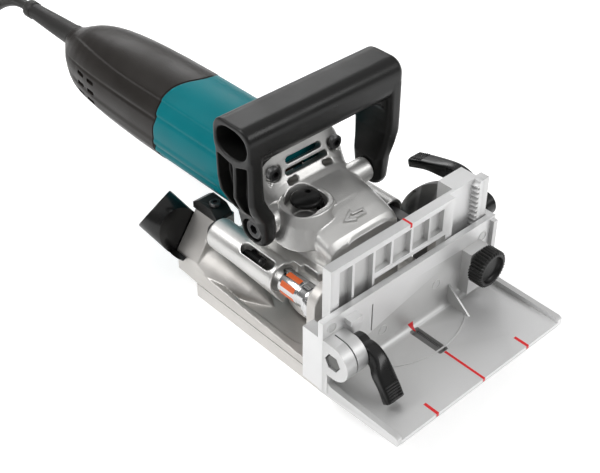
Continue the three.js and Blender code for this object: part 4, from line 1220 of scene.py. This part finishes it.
# ---- CAD pieces that keep their shape
def dress(names, look, width=0.3):
    """Gives the named CAD pieces a finish and a small bevel; their meshes stay as they are."""
    for name in names.split():
        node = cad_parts[name]
        node.data.materials.clear()
        node.data.materials.append(LOOK[look])
        modify(node, "planar", "DECIMATE", decimate_type="DISSOLVE", angle_limit=radians(2))
        modify(node, "bevel", "BEVEL", width=width * MM, segments=2, limit_method="ANGLE",
               angle_limit=radians(35))


KEPT = {
    "dark_steel": "guide_bar stator blade_flange blade_nut",
    "black": "switch_unit switch_slider",
    "nylon": "fan_baffle rear_bearing_seat cooling_fan",
    "brass": "brush_holder_left brush_holder_right",
    "carbon": "carbon_brush_left carbon_brush_right",
    "copper": "armature",
}
FINE_STEEL = """turret_pin tilt_clamp_stud cover_hinge_pin guide_hinge_pin_left guide_hinge_pin_right
    return_spring armature_front_bearing armature_rear_bearing spindle_lower_bearing
    spindle_upper_bearing bevel_pinion bevel_gear spindle rack_pinion blade"""
dress(FINE_STEEL, "steel", 0.15)
for look, names in KEPT.items():
    dress(names, look)


# ---- floor, light
FLOOR_GLOW = 0.42
FLOOR_HALF, FLOOR_LEVEL = 4.0, -0.0002
WORLD_GREYS = ((0.0, 0.25), (0.3, 0.34), (0.62, 0.62), (0.8, 1.0))
WORLD_STRENGTH = 0.7


def make_floor():
    corners = [(x * FLOOR_HALF, y * FLOOR_HALF, FLOOR_LEVEL) for x, y in ((-1, -1), (1, -1), (1, 1), (-1, 1))]
    mesh = bpy.data.meshes.new("floor")
    mesh.from_pydata(corners, [], [(0, 1, 2, 3)])
    paper = Nodes("floor_paper")
    fill(paper.shader, {"Base Color": (0.9, 0.9, 0.9, 1), "Roughness": 0.95, "Specular IOR Level": 0.0,
                        "Emission Color": (1, 1, 1, 1), "Emission Strength": FLOOR_GLOW})
    mesh.materials.append(paper.material)
    add_object("floor", mesh)


def area_light(name, at, target, size, watts):
    data = bpy.data.lights.new(name, "AREA")
    data.shape = "RECTANGLE"
    data.size, data.size_y = size
    data.energy = watts
    light = add_object(name, data)
    light.location = at
    light.rotation_euler = (Vector(target) - Vector(at)).to_track_quat("-Z", "Y").to_euler()


def make_world():
    """A studio whose walls are greyer than its ceiling, so that metal has something to reflect."""
    world = bpy.data.worlds.new("studio")
    bpy.context.scene.world = world
    world.use_nodes = True
    nodes, links = world.node_tree.nodes, world.node_tree.links
    where = nodes.new("ShaderNodeTexCoord").outputs["Generated"]
    split = nodes.new("ShaderNodeSeparateXYZ")
    ramp = nodes.new("ShaderNodeValToRGB")
    ramp.color_ramp.interpolation = "EASE"
    for level in WORLD_GREYS[2:]:
        ramp.color_ramp.elements.new(level[0])
    for element, (height, grey) in zip(ramp.color_ramp.elements, WORLD_GREYS):
        element.position = height
        element.color = (grey, grey, grey, 1)
    links.new(where, split.inputs["Vector"])
    links.new(split.outputs["Z"], ramp.inputs["Fac"])
    links.new(ramp.outputs["Color"], nodes["Background"].inputs["Color"])
    fill(nodes["Background"], {"Strength": WORLD_STRENGTH})


def make_light():
    make_world()
    area_light("key", (-0.9, 0.7, 1.3), (0, 0.05, 0.05), (0.7, 0.7), 11)
    area_light("fill", (0.8, -1.3, 1.2), (0, 0, 0.05), (1.0, 0.6), 9)
    area_light("rim", (0.7, 1.3, 0.8), (0, 0.1, 0.05), (1.0, 0.4), 6)
    bpy.context.scene.view_settings.view_transform = "Standard"


make_floor()
make_light()


bpy.context.view_layer.update()
